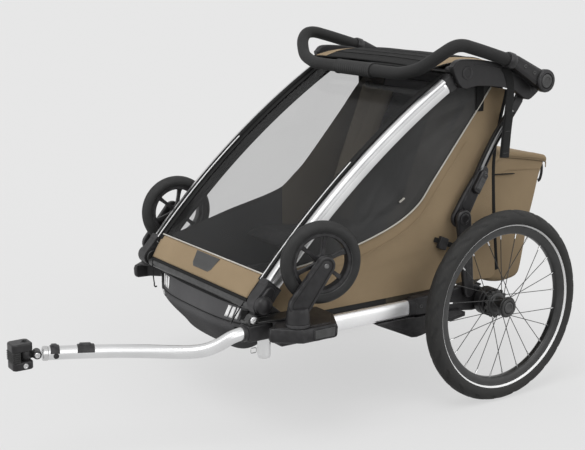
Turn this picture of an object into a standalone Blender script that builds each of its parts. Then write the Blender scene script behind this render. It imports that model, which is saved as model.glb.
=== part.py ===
# Child bike trailer: a folding aluminium frame with a fabric cabin, two 20 inch
# wheels, two stowed stroller casters, a swing-over handlebar and a hitch arm.
#
# Metres, +Z up. The bike is towards -Y and the trailer's left side is at +X.
# Every shape is drawn about the rear axle (Y = 0) and the ground (Z = 0). The
# empty "trailer" then moves the whole thing, so that the origin lies on the
# ground under the middle of its bounding box.

import math

import bmesh
import bpy
from mathutils import Matrix, Vector

# Driving dimensions
axle_shift = 0.4673           # rear axle behind the middle of the box
gap = 0.0004                  # space kept between touching pieces
wheel_radius = 0.250          # 20 inch wheel over the tyre
tyre_section = 0.022          # half of a 47 mm tyre, less a little
wheel_plane = 0.358           # middle of a rear wheel, from the centre plane
axle_height = wheel_radius
rail_height = 0.262
rail_plane = 0.272            # silver tubes and rails, from the centre plane
fold_axis = (-0.685, 0.346)   # Y, Z of the frame's fold pivot
strut_top = (0.125, 0.790)    # Y, Z of the rear strut's upper pivot
strut_knee = (-0.080, 0.475)
strut_foot = (-0.055, 0.280)
bar_axis = (0.144, 0.816)     # Y, Z of the handlebar's pivot
bar_plane = 0.317             # side arms of the handlebar
bar_radius = 0.016
cabin_plane = 0.2465          # inner face of the fabric sides
caster_post = (0.3605, -0.6344)  # X, Y of the caster's swivel axis, left side
caster_turn = {"left": math.radians(-14.0), "right": math.radians(-8.0)}
caster_radius = 0.0975
caster_height = 0.4446        # centre of a stowed caster wheel
caster_inset = 0.0245         # wheel centre, inboard of the swivel axis
caster_trail = 0.064
block_low = 0.272
block_top = 0.306
block_face = 0.394            # outer face of a front block
arm_post = (0.280, -0.675)    # X, Y of the hitch arm's upright end
arm_radius = 0.0155
arm_level = 0.285

sides = (("left", 1), ("right", -1))

for old in list(bpy.data.objects):
    bpy.data.objects.remove(old, do_unlink=True)


# Materials

def make_material(name, colour, roughness, metallic=0.0, alpha=1.0):
    material = bpy.data.materials.new(name)
    material.use_nodes = True
    shader = material.node_tree.nodes["Principled BSDF"]
    shader.inputs["Base Color"].default_value = (*colour, 1.0)
    shader.inputs["Roughness"].default_value = roughness
    shader.inputs["Metallic"].default_value = metallic
    shader.inputs["Alpha"].default_value = alpha
    return material


silver = make_material("silver aluminium", (0.72, 0.72, 0.73), 0.3, 1.0)
black_plastic = make_material("black plastic", (0.018, 0.017, 0.018), 0.45)
grey_plastic = make_material("grey plastic", (0.08, 0.08, 0.08), 0.5)
black_metal = make_material("black painted metal", (0.02, 0.02, 0.021), 0.4)
foam = make_material("handlebar foam", (0.02, 0.02, 0.02), 0.7)
rubber = make_material("tyre rubber", (0.045, 0.045, 0.043), 0.7)
khaki = make_material("khaki fabric", (0.25, 0.19, 0.13), 0.85)
dark_fabric = make_material("dark fabric", (0.06, 0.058, 0.06), 0.85)
seat_fabric = make_material("seat fabric", (0.10, 0.085, 0.065), 0.85)
webbing = make_material("webbing", (0.015, 0.015, 0.015), 0.8)
clear_film = make_material("clear film", (0.8, 0.8, 0.8), 0.1, 0.0, 0.25)


# Bodies: an empty on each joint's axis carries the pieces that turn about it

trailer = bpy.data.objects.new("trailer", None)
trailer.location = (0.0, axle_shift, 0.0)
bpy.context.scene.collection.objects.link(trailer)


def make_body(name, location, turn=0.0):
    empty = bpy.data.objects.new(name, None)
    empty.parent = trailer
    empty.location = location
    empty.rotation_euler = (0.0, 0.0, turn)
    bpy.context.scene.collection.objects.link(empty)
    return empty


def finish(name, shape, material, body, bevel=0.0, own_frame=False):
    """Turn a bmesh, drawn about the rear axle, into an object on its body."""
    if not own_frame:
        bmesh.ops.translate(shape, vec=-body.location, verts=shape.verts)
    bmesh.ops.recalc_face_normals(shape, faces=shape.faces)
    mesh = bpy.data.meshes.new(name)
    shape.to_mesh(mesh)
    shape.free()
    mesh.shade_smooth()
    mesh.set_sharp_from_angle(angle=math.radians(35.0))
    mesh.materials.append(material)
    thing = bpy.data.objects.new(name, mesh)
    thing.parent = body
    bpy.context.scene.collection.objects.link(thing)
    if bevel:
        rounding = thing.modifiers.new("rounding", "BEVEL")
        rounding.width = bevel
        rounding.segments = 1
        rounding.limit_method = "ANGLE"
        rounding.angle_limit = math.radians(40.0)
    return thing


def combine(target, other, operation):
    """Unite another object with the target, or cut it out of the target."""
    step = target.modifiers.new(operation.lower(), "BOOLEAN")
    step.operation = operation
    step.solver = "EXACT"
    step.object = other
    other.hide_render = True
    other.display_type = "WIRE"


# Shape makers

def circle_points(centre, radius, count, start=0.0):
    step = 2.0 * math.pi / count
    return [(centre[0] + radius * math.cos(start + i * step),
             centre[1] + radius * math.sin(start + i * step)) for i in range(count)]


def hull_outline(discs, count=16):
    """Outline of a belt pulled tight round discs, each (first, second, radius)."""
    points = []
    for first, second, radius in discs:
        points += circle_points((first, second), radius, count) if radius else [(first, second)]
    points = sorted(set(points))

    def half(run):
        chain = []
        for point in run:
            while len(chain) > 1 and turn_of(chain[-2], chain[-1], point) <= 1e-10:
                chain.pop()
            chain.append(point)
        return chain[:-1]

    return half(points) + half(points[::-1])


def turn_of(a, b, c):
    return (b[0] - a[0]) * (c[1] - a[1]) - (b[1] - a[1]) * (c[0] - a[0])


def add_prism(shape, outline, low, high, axis):
    """Extrude an outline between two planes across X, Y or Z."""
    def corner(point, level):
        coords = list(point)
        coords.insert("XYZ".index(axis), level)
        return shape.verts.new(coords)

    near = [corner(point, low) for point in outline]
    far = [corner(point, high) for point in outline]
    shape.faces.new(near)
    shape.faces.new(far[::-1])
    for i, vert in enumerate(near):
        j = (i + 1) % len(near)
        shape.faces.new((vert, far[i], far[j], near[j]))


def prism(outline, low, high, axis="X"):
    shape = bmesh.new()
    add_prism(shape, outline, min(low, high), max(low, high), axis)
    return shape


def turned(profile, segments, centre, closed=True):
    """Turn a profile of (radius, X) about the X direction through a centre."""
    shape = bmesh.new()
    rings = []
    for radius, along in profile:
        if radius == 0.0:
            rings.append([shape.verts.new((centre[0] + along, centre[1], centre[2]))])
            continue
        spots = circle_points((centre[1], centre[2]), radius, segments)
        rings.append([shape.verts.new((centre[0] + along, y, z)) for y, z in spots])
    pairs = list(zip(rings, rings[1:]))
    if closed:
        pairs.append((rings[-1], rings[0]))
    for one, two in pairs:
        for i in range(segments):
            j = (i + 1) % segments
            quad = [one[i % len(one)], one[j % len(one)], two[j % len(two)], two[i % len(two)]]
            shape.faces.new(list(dict.fromkeys(quad)))
    return shape


def rod(start, end, radius, segments=16):
    """A round bar between two points."""
    start = Vector(start)
    end = Vector(end)
    shape = bmesh.new()
    bmesh.ops.create_cone(shape, cap_ends=True, segments=segments, radius1=radius,
                          radius2=radius, depth=(end - start).length)
    turn = (end - start).to_track_quat("Z", "Y").to_matrix().to_4x4()
    bmesh.ops.transform(shape, matrix=Matrix.Translation((start + end) / 2) @ turn,
                        verts=shape.verts)
    return shape


def curve_through(points, per_span):
    """A smooth curve through points, with a few steps in each span."""
    points = [Vector(point) for point in points]
    ends = [points[0] * 2 - points[1]] + points + [points[-1] * 2 - points[-2]]
    curve = []
    for i in range(1, len(ends) - 2):
        a, b, c, d = ends[i - 1:i + 3]
        for k in range(per_span):
            t = k / per_span
            curve.append(0.5 * (2 * b + (c - a) * t + (2 * a - 5 * b + 4 * c - d) * t * t
                                + (3 * b - a - 3 * c + d) * t ** 3))
    return curve + [points[-1]]


def swept(path, section, side=None):
    """Carry a section of (sideways, upward) offsets along a path."""
    path = [Vector(point) for point in path]
    shape = bmesh.new()
    rings = []
    across = Vector(side) if side else None
    for i, point in enumerate(path):
        heading = (path[min(i + 1, len(path) - 1)] - path[max(i - 1, 0)]).normalized()
        if across is None:
            across = heading.orthogonal()
        if side is None:
            across = (across - heading * across.dot(heading)).normalized()
        up = heading.cross(across).normalized()
        rings.append([shape.verts.new(point + across * a + up * b) for a, b in section])
    for one, two in zip(rings, rings[1:]):
        for i in range(len(section)):
            j = (i + 1) % len(section)
            shape.faces.new((one[i], one[j], two[j], two[i]))
    shape.faces.new(rings[0])
    shape.faces.new(rings[-1][::-1])
    return shape


def round_section(radius, count):
    return circle_points((0.0, 0.0), radius, count)


def grid_sheet(rows):
    """An open sheet from rows of points; a Solidify modifier thickens it."""
    shape = bmesh.new()
    verts = [[shape.verts.new(point) for point in row] for row in rows]
    for low, high in zip(verts, verts[1:]):
        for i in range(len(low) - 1):
            shape.faces.new((low[i], low[i + 1], high[i + 1], high[i]))
    return shape


def thicken(thing, thickness):
    solid = thing.modifiers.new("thickness", "SOLIDIFY")
    solid.thickness = thickness
    solid.offset = 0.0


# The silver front tube's centre line, in Y and Z: a shallow forward bow

tube_foot = (-0.660, 0.3755)
tube_middle = (-0.5245, 0.519)
tube_head = (-0.1205, 0.8275)
tube_half_depth = 0.0195
tube_half_width = 0.014


def arc_through(first, middle, last, count):
    """Points on the circle through three points, in order."""
    (ax, ay), (bx, by), (cx, cy) = first, middle, last
    d = 2 * (ax * (by - cy) + bx * (cy - ay) + cx * (ay - by))
    sa, sb, sc = ax * ax + ay * ay, bx * bx + by * by, cx * cx + cy * cy
    ux = (sa * (by - cy) + sb * (cy - ay) + sc * (ay - by)) / d
    uy = (sa * (cx - bx) + sb * (ax - cx) + sc * (bx - ax)) / d
    radius = math.hypot(ax - ux, ay - uy)
    start = math.atan2(ay - uy, ax - ux)
    end = math.atan2(cy - uy, cx - ux)
    if abs(end - start) > math.pi:
        end -= math.copysign(2 * math.pi, end - start)
    turns = [start + (end - start) * i / (count - 1) for i in range(count)]
    return [(ux + radius * math.cos(t), uy + radius * math.sin(t)) for t in turns]


tube_line = arc_through(tube_foot, tube_middle, tube_head, 15)


def beside_tube(index, offset):
    """A point beside the tube's centre line; positive offsets are in front."""
    low = Vector(tube_line[max(index - 1, 0)])
    high = Vector(tube_line[min(index + 1, len(tube_line) - 1)])
    heading = (high - low).normalized()
    spot = Vector(tube_line[index]) + Vector((-heading.y, heading.x)) * offset
    return (spot.x, spot.y)


# Chassis

chassis = make_body("chassis", (0.0, 0.0, 0.0))
fold = make_body("upper_frame_axis", (0.0, *fold_axis))

rail_front = -0.506
rail_back = -0.229
lug_inner = 0.2515
lug_outer = 0.2577
knuckle_inner = 0.2585
pin_radius = 0.008


def make_rail(side, sign):
    section = [(0.012 * math.cos(t), 0.021 * math.sin(t))
               for t in [2 * math.pi * i / 16 for i in range(16)]]
    path = [(sign * rail_plane, rail_front + gap, rail_height),
            (sign * rail_plane, rail_back - gap, rail_height)]
    finish("rail_" + side, swept(path, section, (1, 0, 0)), silver, chassis)


def release_outline(inset):
    """Long panel on the block's outer face that frees the caster when pressed."""
    front, back, low, high = -0.6105, -0.5535, 0.2775, 0.3005
    return [(front + inset, low + inset), (back - inset, low + inset),
            (back - inset, high - inset), (front + inset, high - inset)]


def make_front_block(side, sign):
    """Corner block: holds the rail, the caster's post and the fold pivot."""
    plan = [(lug_inner, -0.640), (0.305, -0.640), (0.329, -0.664), (0.333, -0.698),
            (0.345, -0.700), (block_face, -0.642), (block_face, -0.546),
            (0.322, rail_front), (lug_inner, rail_front)]
    plan = [(sign * x, y) for x, y in plan]
    block = finish("front_block_" + side, prism(plan, block_low, block_top, "Z"),
                   black_plastic, chassis, 0.004)
    core = [(-0.640, 0.239), (rail_front, 0.239), (rail_front, 0.290), (-0.640, 0.290)]
    low_core = finish("block_core_" + side, prism(core, sign * 0.252, sign * 0.300),
                      black_plastic, chassis)
    combine(block, low_core, "UNION")
    lug_discs = [(*fold_axis, 0.018), (-0.630, 0.300, 0.012), (-0.595, 0.280, 0.012)]
    lug = finish("block_lug_" + side,
                 prism(hull_outline(lug_discs, 20), sign * lug_inner, sign * lug_outer),
                 black_metal, chassis)
    combine(block, lug, "UNION")
    pin = finish("fold_pin_" + side,
                 rod((sign * 0.254, *fold_axis), (sign * 0.304, *fold_axis), pin_radius),
                 black_metal, chassis)
    combine(block, pin, "UNION")
    socket = finish("caster_socket_" + side,
                    rod((sign * caster_post[0], caster_post[1], block_top - 0.030),
                        (sign * caster_post[0], caster_post[1], block_top + 0.01), 0.0115),
                    black_plastic, chassis)
    combine(block, socket, "DIFFERENCE")
    well_floor = sign * (block_face - 0.010)
    button_well = finish("button_well_" + side,
                         prism(release_outline(0.0), well_floor, sign * 0.41),
                         black_plastic, chassis)
    combine(block, button_well, "DIFFERENCE")


def make_rear_block(side, sign):
    """Block behind the rail with the strut's foot and the axle housing."""
    outline = [(rail_back, 0.238), (-0.120, 0.235), (-0.030, 0.222), (0.030, 0.224),
               (0.036, 0.262), (-0.020, 0.292), (-0.055, 0.297), (-0.120, 0.290),
               (rail_back, 0.286)]
    block = finish("rear_block_" + side, prism(outline, sign * 0.252, sign * 0.280),
                   black_plastic, chassis, 0.003)
    profile = [(0.0, -0.020), (0.026, -0.020), (0.026, 0.020), (0.031, 0.024),
               (0.031, 0.045), (0.0, 0.045)]
    middle = sign * 0.280
    profile = [(radius, sign * along) for radius, along in profile]
    housing = finish("axle_housing_" + side,
                     turned(profile, 24, (middle, 0.0, axle_height), closed=False),
                     black_plastic, chassis)
    combine(block, housing, "UNION")


def make_leaf_spring(side, sign):
    outline = [(-0.345, 0.2402), (-0.345, 0.2360), (-0.238, 0.187), (-0.205, 0.187),
               (-0.120, 0.206), (-0.060, 0.214), (-0.060, 0.2255), (-0.120, 0.2344),
               (rail_back, 0.2374), (rail_back, 0.2402)]
    finish("leaf_spring_" + side, prism(outline, sign * 0.256, sign * 0.286),
           black_plastic, chassis, 0.0015)


def make_cross_members():
    reach = 0.252 - gap
    finish("axle_beam", rod((-reach, 0.0, axle_height), (reach, 0.0, axle_height), 0.016, 20),
           black_metal, chassis)
    reach = lug_inner - gap
    finish("front_cross_tube", rod((-reach, -0.690, 0.335), (reach, -0.690, 0.335), 0.011),
           black_metal, chassis)


def make_hitch_bracket():
    """Plate on the left corner that holds the hitch arm's clamp from above."""
    plan = [(0.262, -0.728), (0.302, -0.728), (0.302, -0.690), (0.312, -0.650),
            (0.312, -0.600), (0.262, -0.600)]
    plate = finish("hitch_bracket", prism(plan, block_top + gap, 0.3125, "Z"),
                   black_metal, chassis)
    ear_discs = [(-0.717, 0.319, 0.0125), (-0.728, 0.3075, 0), (-0.700, 0.3075, 0)]
    ear = finish("hitch_ear", prism(hull_outline(ear_discs), 0.284, 0.302),
                 black_metal, chassis)
    combine(plate, ear, "UNION")
    bore = finish("hitch_pin_bore", rod((0.27, -0.717, 0.319), (0.31, -0.717, 0.319), 0.0045, 12),
                  black_metal, chassis)
    combine(plate, bore, "DIFFERENCE")


# Fabric cabin on the chassis

def make_belly():
    """Footwell tub, open on top: a tapered shell with 5 mm walls."""
    outer = [(-0.692, 0.3225), (-0.712, 0.262), (-0.652, 0.187), (-0.577, 0.214),
             (-0.460, 0.243), (-0.200, 0.243), (-0.200, 0.283), (-0.480, 0.286)]
    inner = [(-0.686, 0.3600), (-0.706, 0.263), (-0.650, 0.1935), (-0.578, 0.2195),
             (-0.461, 0.2485), (-0.205, 0.2485), (-0.205, 0.330), (-0.480, 0.360)]

    def tapered(outline, half_width):
        shape = bmesh.new()
        rings = []
        for x in (-half_width, -half_width + 0.030, half_width - 0.030, half_width):
            raised = 0.045 if abs(x) == half_width else 0.0
            spots = [(y, z + raised if z < 0.21 else z) for y, z in outline]
            rings.append([shape.verts.new((x, y, z)) for y, z in spots])
        for one, two in zip(rings, rings[1:]):
            for i in range(len(outline)):
                j = (i + 1) % len(outline)
                shape.faces.new((one[i], one[j], two[j], two[i]))
        shape.faces.new(rings[0])
        shape.faces.new(rings[-1][::-1])
        bmesh.ops.triangulate(shape, faces=shape.faces)
        return shape

    tub = finish("belly", tapered(outer, 0.234), dark_fabric, chassis)
    hollow = finish("belly_hollow", tapered(inner, 0.229), dark_fabric, chassis)
    combine(tub, hollow, "DIFFERENCE")


def make_seat():
    """Seat pad and crowned back in one soft piece, 32 mm thick."""
    line = [(-0.430, 0.372), (-0.405, 0.392), (-0.330, 0.392), (-0.240, 0.380),
            (-0.185, 0.380), (-0.150, 0.405), (-0.128, 0.470), (-0.095, 0.560),
            (-0.055, 0.660), (-0.020, 0.745), (-0.008, 0.775)]
    half_width = 0.215
    thickness = 0.030
    across = 9
    shape = bmesh.new()
    front, back = [], []
    for i, spot in enumerate(line):
        low = Vector(line[max(i - 1, 0)])
        high = Vector(line[min(i + 1, len(line) - 1)])
        heading = (high - low).normalized()
        normal = Vector((-heading.y, heading.x))
        end_fade = 0.4 if i in (0, len(line) - 1) else 1.0
        front_row, back_row = [], []
        for k in range(across):
            u = -1.0 + 2.0 * k / (across - 1)
            crown = 0.014 * (1.0 - u ** 4) * end_fade
            wing = 0.030 * max(0.0, abs(u) - 0.6) if i > 4 else 0.0
            top = Vector(spot) + normal * (crown + wing)
            under = Vector(spot) - normal * (thickness - 0.004 * u * u)
            front_row.append(shape.verts.new((u * half_width, top.x, top.y)))
            back_row.append(shape.verts.new((u * half_width, under.x, under.y)))
        front.append(front_row)
        back.append(back_row)
    for grid in (front, back):
        for one, two in zip(grid, grid[1:]):
            for k in range(across - 1):
                shape.faces.new((one[k], one[k + 1], two[k + 1], two[k]))
    for i in range(len(line) - 1):
        for k in (0, across - 1):
            shape.faces.new((front[i][k], front[i + 1][k], back[i + 1][k], back[i][k]))
    for i in (0, len(line) - 1):
        for k in range(across - 1):
            shape.faces.new((front[i][k], front[i][k + 1], back[i][k + 1], back[i][k]))
    finish("seat", shape, seat_fabric, chassis)


def make_side_panel(side, sign):
    """Fabric side: follows the front tube, the rail and the back panel."""
    outline = [beside_tube(i, 0.0) for i in range(1, 14, 2)]
    outline += [(-0.112, 0.808), (0.092, 0.790), (0.084, 0.740), (0.062, 0.690),
                (0.052, 0.600), (0.060, 0.500), (0.090, 0.310), (0.080, 0.300),
                (-0.180, 0.290), (-0.640, 0.290)]
    finish("side_panel_" + side,
           prism(outline, sign * cabin_plane, sign * (cabin_plane + 0.0035)),
           khaki, chassis)


def make_back_panel():
    line = [(0.080, 0.785), (0.050, 0.690), (0.040, 0.600), (0.048, 0.500), (0.078, 0.305)]
    rows = [[(x, y, z) for x in (-0.244, 0.244)] for y, z in line]
    thicken(finish("back_panel", grid_sheet(rows), dark_fabric, chassis), 0.003)


def make_cargo_bag():
    outline = [(0.0455, 0.565), (0.125, 0.617), (0.286, 0.592), (0.286, 0.582),
               (0.274, 0.572), (0.210, 0.272), (0.190, 0.256), (0.145, 0.252),
               (0.092, 0.264), (0.082, 0.300), (0.0515, 0.500)]
    finish("cargo_bag", prism(outline, -0.205, 0.205), khaki, chassis, 0.012)


# Upper frame

def make_front_tube(side, sign):
    depth, width = tube_half_depth, tube_half_width
    section = [(width, -depth * 0.55), (width, -depth * 0.1), (width * 0.86, depth * 0.02),
               (width, depth * 0.14), (width, depth * 0.62), (width * 0.55, depth),
               (-width * 0.6, depth), (-width, depth * 0.6), (-width, -depth * 0.6),
               (-width * 0.6, -depth), (width * 0.6, -depth)]
    section = [(sign * a, b) for a, b in section]
    path = [(sign * rail_plane, y, z) for y, z in tube_line]
    finish("front_tube_" + side, swept(path, section, (1, 0, 0)), silver, fold)


def make_knuckle(side, sign):
    """Casting between the tube's foot and the fold pin."""
    start = Vector(tube_line[0])
    heading = (Vector(tube_line[1]) - start).normalized()
    seat = start - heading * gap
    normal = Vector((-heading.y, heading.x)) * (tube_half_depth + 0.0015)
    discs = [(*fold_axis, 0.024), (*(seat + normal), 0), (*(seat - normal), 0)]
    knuckle = finish("knuckle_" + side,
                     prism(hull_outline(discs, 20), sign * knuckle_inner, sign * 0.290),
                     black_plastic, fold)
    boss = finish("knuckle_boss_" + side,
                  rod((sign * 0.264, *fold_axis), (sign * 0.3105, *fold_axis), 0.0215, 20),
                  black_plastic, fold)
    combine(knuckle, boss, "UNION")
    bore = finish("knuckle_bore_" + side,
                  rod((sign * 0.25, *fold_axis), (sign * 0.3048, *fold_axis),
                      pin_radius + 0.0005), black_plastic, fold)
    combine(knuckle, bore, "DIFFERENCE")


def make_corner_bracket(side, sign):
    """Wing-shaped casting from the tube's head back to the handlebar pivot."""
    end = Vector(tube_line[-1])
    heading = (end - Vector(tube_line[-2])).normalized()
    seat = end + heading * gap
    normal = Vector((-heading.y, heading.x))
    front_high = tuple(seat + normal * (tube_half_depth + 0.002))
    front_low = tuple(seat - normal * (tube_half_depth + 0.001))
    wing = [front_low, front_high, (-0.136, 0.866), (-0.118, 0.878), (-0.030, 0.873),
            (0.050, 0.856), (0.120, 0.838), (0.152, 0.838), (0.167, 0.822),
            (0.165, 0.800), (0.140, 0.776), (0.118, 0.766), (0.100, 0.772),
            (0.060, 0.797), (-0.055, 0.812)]
    bracket = finish("corner_bracket_" + side, prism(wing, sign * 0.281, sign * 0.299),
                     black_plastic, fold, 0.003)
    root = [front_low, front_high, (-0.132, 0.860), (-0.100, 0.866), (-0.020, 0.860),
            (0.046, 0.846), (0.040, 0.815), (-0.055, 0.815)]
    inner = finish("bracket_root_" + side, prism(root, sign * 0.258, sign * 0.283),
                   black_plastic, fold)
    combine(bracket, inner, "UNION")
    strut_pin = finish("strut_pin_" + side,
                       rod((sign * 0.266, *strut_top), (sign * 0.285, *strut_top), 0.005, 12),
                       black_metal, fold)
    combine(bracket, strut_pin, "UNION")


def make_roof():
    half_width = 0.252
    reach = 0.258 - gap
    finish("roof_bar", rod((-reach, 0.020, 0.832), (reach, 0.020, 0.832), 0.011),
           black_metal, fold)
    rows = []
    for y, base in ((-0.172, 0.856), (-0.120, 0.868), (-0.050, 0.872), (0.020, 0.868),
                    (0.062, 0.858)):
        row = []
        for k in range(9):
            u = -1.0 + 2.0 * k / 8
            row.append((u * half_width, y, base + 0.012 * (1.0 - u * u) - 0.008 * u ** 8))
        rows.append(row)
    thicken(finish("roof", grid_sheet(rows), khaki, fold), 0.003)


def make_front_cover():
    """Clear window between the front tubes, and the strip that closes it."""
    rows = []
    for i in range(1, 14):
        y, z = beside_tube(i, tube_half_depth - 0.006)
        rows.append([(x, y, z) for x in (-0.250, -0.125, 0.0, 0.125, 0.250)])
    thicken(finish("front_window", grid_sheet(rows), clear_film, fold), 0.002)
    low_y, low_z = beside_tube(1, tube_half_depth - 0.006)
    top = (low_y - 0.006, low_z - 0.006)
    rows = [[(-0.2475, *top), (0.2475, *top)], [(-0.236, -0.6930, 0.3515), (0.236, -0.6930, 0.3515)]]
    thicken(finish("front_strip", grid_sheet(rows), khaki, fold), 0.004)


strap_path = [(0.2970, 0.048, 0.7960), (0.2970, 0.048, 0.760), (0.2970, 0.048, 0.700),
              (0.2970, 0.048, 0.622)]


def make_hand_strap():
    """Flat webbing that hangs from the left bracket's lower edge."""
    section = [(0.00125, -0.011), (0.00125, 0.011), (-0.00125, 0.011), (-0.00125, -0.011)]
    finish("hand_strap", swept(curve_through(strap_path, 3), section, (1, 0, 0)),
           webbing, fold)


# Rear struts

def make_strut(side, sign):
    top_axis = make_body("strut_top_axis_" + side, (0.0, *strut_top))
    foot_axis = make_body("strut_foot_axis_" + side, (0.0, *strut_foot))
    inner, outer = sign * 0.2665, sign * 0.2785
    slide = (Vector(strut_top) - Vector(strut_knee)).normalized()
    across = Vector((-slide.y, slide.x))
    upper = finish("strut_upper_" + side,
                   prism(hull_outline([(*strut_top, 0.013), (*strut_knee, 0.017)]),
                         inner, outer), black_metal, top_axis, 0.0015)
    sleeve_end = Vector(strut_knee) + slide * 0.125
    sleeve = finish("strut_sleeve_" + side,
                    prism(hull_outline([(*sleeve_end, 0.0185), (*strut_knee, 0.0255)]),
                          sign * 0.2662, sign * 0.2787), black_plastic, top_axis)
    combine(upper, sleeve, "UNION")
    eye = finish("strut_eye_" + side,
                 rod((sign * 0.26, *strut_top), (sign * 0.29, *strut_top), 0.0055, 12),
                 black_metal, top_axis)
    combine(upper, eye, "DIFFERENCE")
    finish("strut_lower_" + side,
           prism(hull_outline([(*strut_knee, 0.0235), (*strut_foot, 0.015)]),
                 sign * 0.2815, sign * 0.2955), black_plastic, foot_axis, 0.002)
    middle = Vector(strut_knee) + slide * 0.105
    latch = [middle + slide * a + across * b for a, b in
             ((-0.030, -0.012), (0.024, -0.012), (0.032, -0.004), (0.032, 0.012),
              (-0.022, 0.012), (-0.030, 0.004))]
    finish("strut_latch_" + side,
           prism([tuple(point) for point in latch], sign * 0.2790, sign * 0.2930),
           grey_plastic, top_axis, 0.002)


# Handlebar

bar_half = [(bar_plane, 0.0285, 0.8728), (bar_plane, -0.040, 0.893), (bar_plane, -0.090, 0.907),
            (bar_plane, -0.125, 0.9150), (0.314, -0.152, 0.912), (0.300, -0.174, 0.896),
            (0.276, -0.190, 0.876), (0.248, -0.202, 0.858), (0.215, -0.208, 0.848),
            (0.180, -0.211, 0.842), (0.130, -0.211, 0.841), (0.080, -0.211, 0.841),
            (0.0, -0.211, 0.841)]
grip_half = 0.077


def make_handlebar():
    bar = make_body("handlebar_axis", (0.0, *bar_axis))
    mirrored = [(-x, y, z) for x, y, z in bar_half[-2::-1]]
    path = curve_through(bar_half + mirrored, 2)
    finish("handlebar", swept(path, round_section(bar_radius, 10)), foam, bar)
    bore_radius = bar_radius + gap
    grip_y, grip_z = bar_half[-1][1:]
    profile = [(bore_radius, -grip_half), (0.0185, -grip_half), (0.0195, -grip_half + 0.003),
               (0.0195, grip_half - 0.003), (0.0185, grip_half), (bore_radius, grip_half)]
    finish("handlebar_grip", turned(profile, 20, (0.0, grip_y, grip_z)), rubber, bar)
    for side, sign in sides:
        discs = [(*bar_axis, 0.023), (0.046, 0.8676, 0.0172)]
        clamp = finish("handlebar_clamp_" + side,
                       prism(hull_outline(discs, 20), sign * 0.3012, sign * 0.333),
                       black_plastic, bar, 0.003)
        cap = finish("clamp_cap_" + side,
                     rod((sign * 0.310, *bar_axis), (sign * 0.3395, *bar_axis), 0.0225, 24),
                     black_plastic, bar)
        combine(clamp, cap, "UNION")
        well = finish("button_hole_" + side,
                      rod((sign * 0.330, *bar_axis), (sign * 0.345, *bar_axis), 0.0145, 20),
                      black_plastic, bar)
        combine(clamp, well, "DIFFERENCE")
        button = make_body("bar_button_axis_" + side, (sign * 0.334, *bar_axis))
        finish("handlebar_button_" + side,
               rod((sign * 0.3335, *bar_axis), (sign * 0.3400, *bar_axis), 0.0140, 20),
               grey_plastic, button)


# Rear wheels

spoke_count = 24
wheel_steps = 40
rim_bed = 0.2050
rim_inner = 0.1885
flange_radius = 0.027
flange_offset = 0.019
brake_teeth = 14


def make_rear_wheel(side, sign):
    hub_centre = (sign * wheel_plane, 0.0, axle_height)
    axis = make_body("rear_wheel_axis_" + side, hub_centre)
    crown = wheel_radius - 2 * tyre_section
    tyre = [(crown + 0.001, 0.0115), (crown + 0.009, 0.0200), (crown + 0.024, 0.0220),
            (crown + 0.038, 0.0130), (wheel_radius, 0.0)]
    tyre += [(radius, -along) for radius, along in tyre[-2::-1]]
    finish("tyre_" + side, turned(tyre, wheel_steps, hub_centre), rubber, axis)
    rim = [(rim_inner, -0.006), (rim_inner + 0.006, -0.011), (rim_bed, -0.012),
           (rim_bed, 0.012), (rim_inner + 0.006, 0.011), (rim_inner, 0.006)]
    wheel = finish("wheel_" + side, turned(rim, wheel_steps, hub_centre), black_metal, axis)
    hub = [(0.0, -0.0315), (0.0185, -0.0315), (0.0290, -0.026), (0.0290, -0.0190),
           (0.015, -0.015), (0.015, 0.014), (flange_radius, 0.017),
           (flange_radius, 0.0205), (0.0185, 0.0205), (0.0185, 0.0245), (0.0135, 0.0245),
           (0.0135, 0.0175), (0.0, 0.0175)]
    hub = [(radius, sign * along) for radius, along in hub]
    core = finish("hub_" + side, turned(hub, 20, hub_centre, closed=False), black_metal, axis)
    combine(wheel, core, "UNION")
    gear = []
    for i in range(brake_teeth):
        for radius, share in ((0.033, 0.0), (0.038, 0.2), (0.038, 0.5), (0.033, 0.7)):
            turn = 2 * math.pi * (i + share) / brake_teeth
            gear.append((radius * math.cos(turn), axle_height + radius * math.sin(turn)))
    ring = finish("brake_ring_" + side,
                  prism(gear, sign * (wheel_plane - 0.0265), sign * (wheel_plane - 0.0205)),
                  black_metal, axis)
    combine(wheel, ring, "UNION")
    per_set = spoke_count // 4
    for set_index in range(4):
        flange = flange_offset - 0.001 if set_index % 2 else -(flange_offset + 0.003)
        lean = 1 if set_index < 2 else -1
        shape = bmesh.new()
        for k in range(per_set):
            rim_turn = 2 * math.pi * (4 * k + set_index) / spoke_count + math.radians(4.0)
            hub_turn = rim_turn + lean * math.radians(62.0)
            inner = Vector((sign * flange, 0.022 * math.cos(hub_turn), 0.022 * math.sin(hub_turn)))
            outer = Vector((sign * flange * 0.1, (rim_inner + 0.006) * math.cos(rim_turn),
                            (rim_inner + 0.006) * math.sin(rim_turn)))
            piece = rod(inner + Vector(hub_centre), outer + Vector(hub_centre), 0.0012, 4)
            mesh = bpy.data.meshes.new("spoke")
            piece.to_mesh(mesh)
            piece.free()
            shape.from_mesh(mesh)
            bpy.data.meshes.remove(mesh)
        spokes = finish(f"spokes_{side}_{set_index}", shape, black_metal, axis)
        combine(wheel, spokes, "UNION")
    button = make_body("wheel_button_axis_" + side, hub_centre)
    finish("wheel_button_" + side,
           turned([(0.0, sign * 0.0215), (0.0125, sign * 0.0215), (0.0125, sign * 0.0255),
                   (0.0105, sign * 0.0265), (0.0, sign * 0.0265)], 20, hub_centre, closed=False),
           grey_plastic, button)


# Stowed stroller casters, drawn upright about their own swivel post

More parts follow.
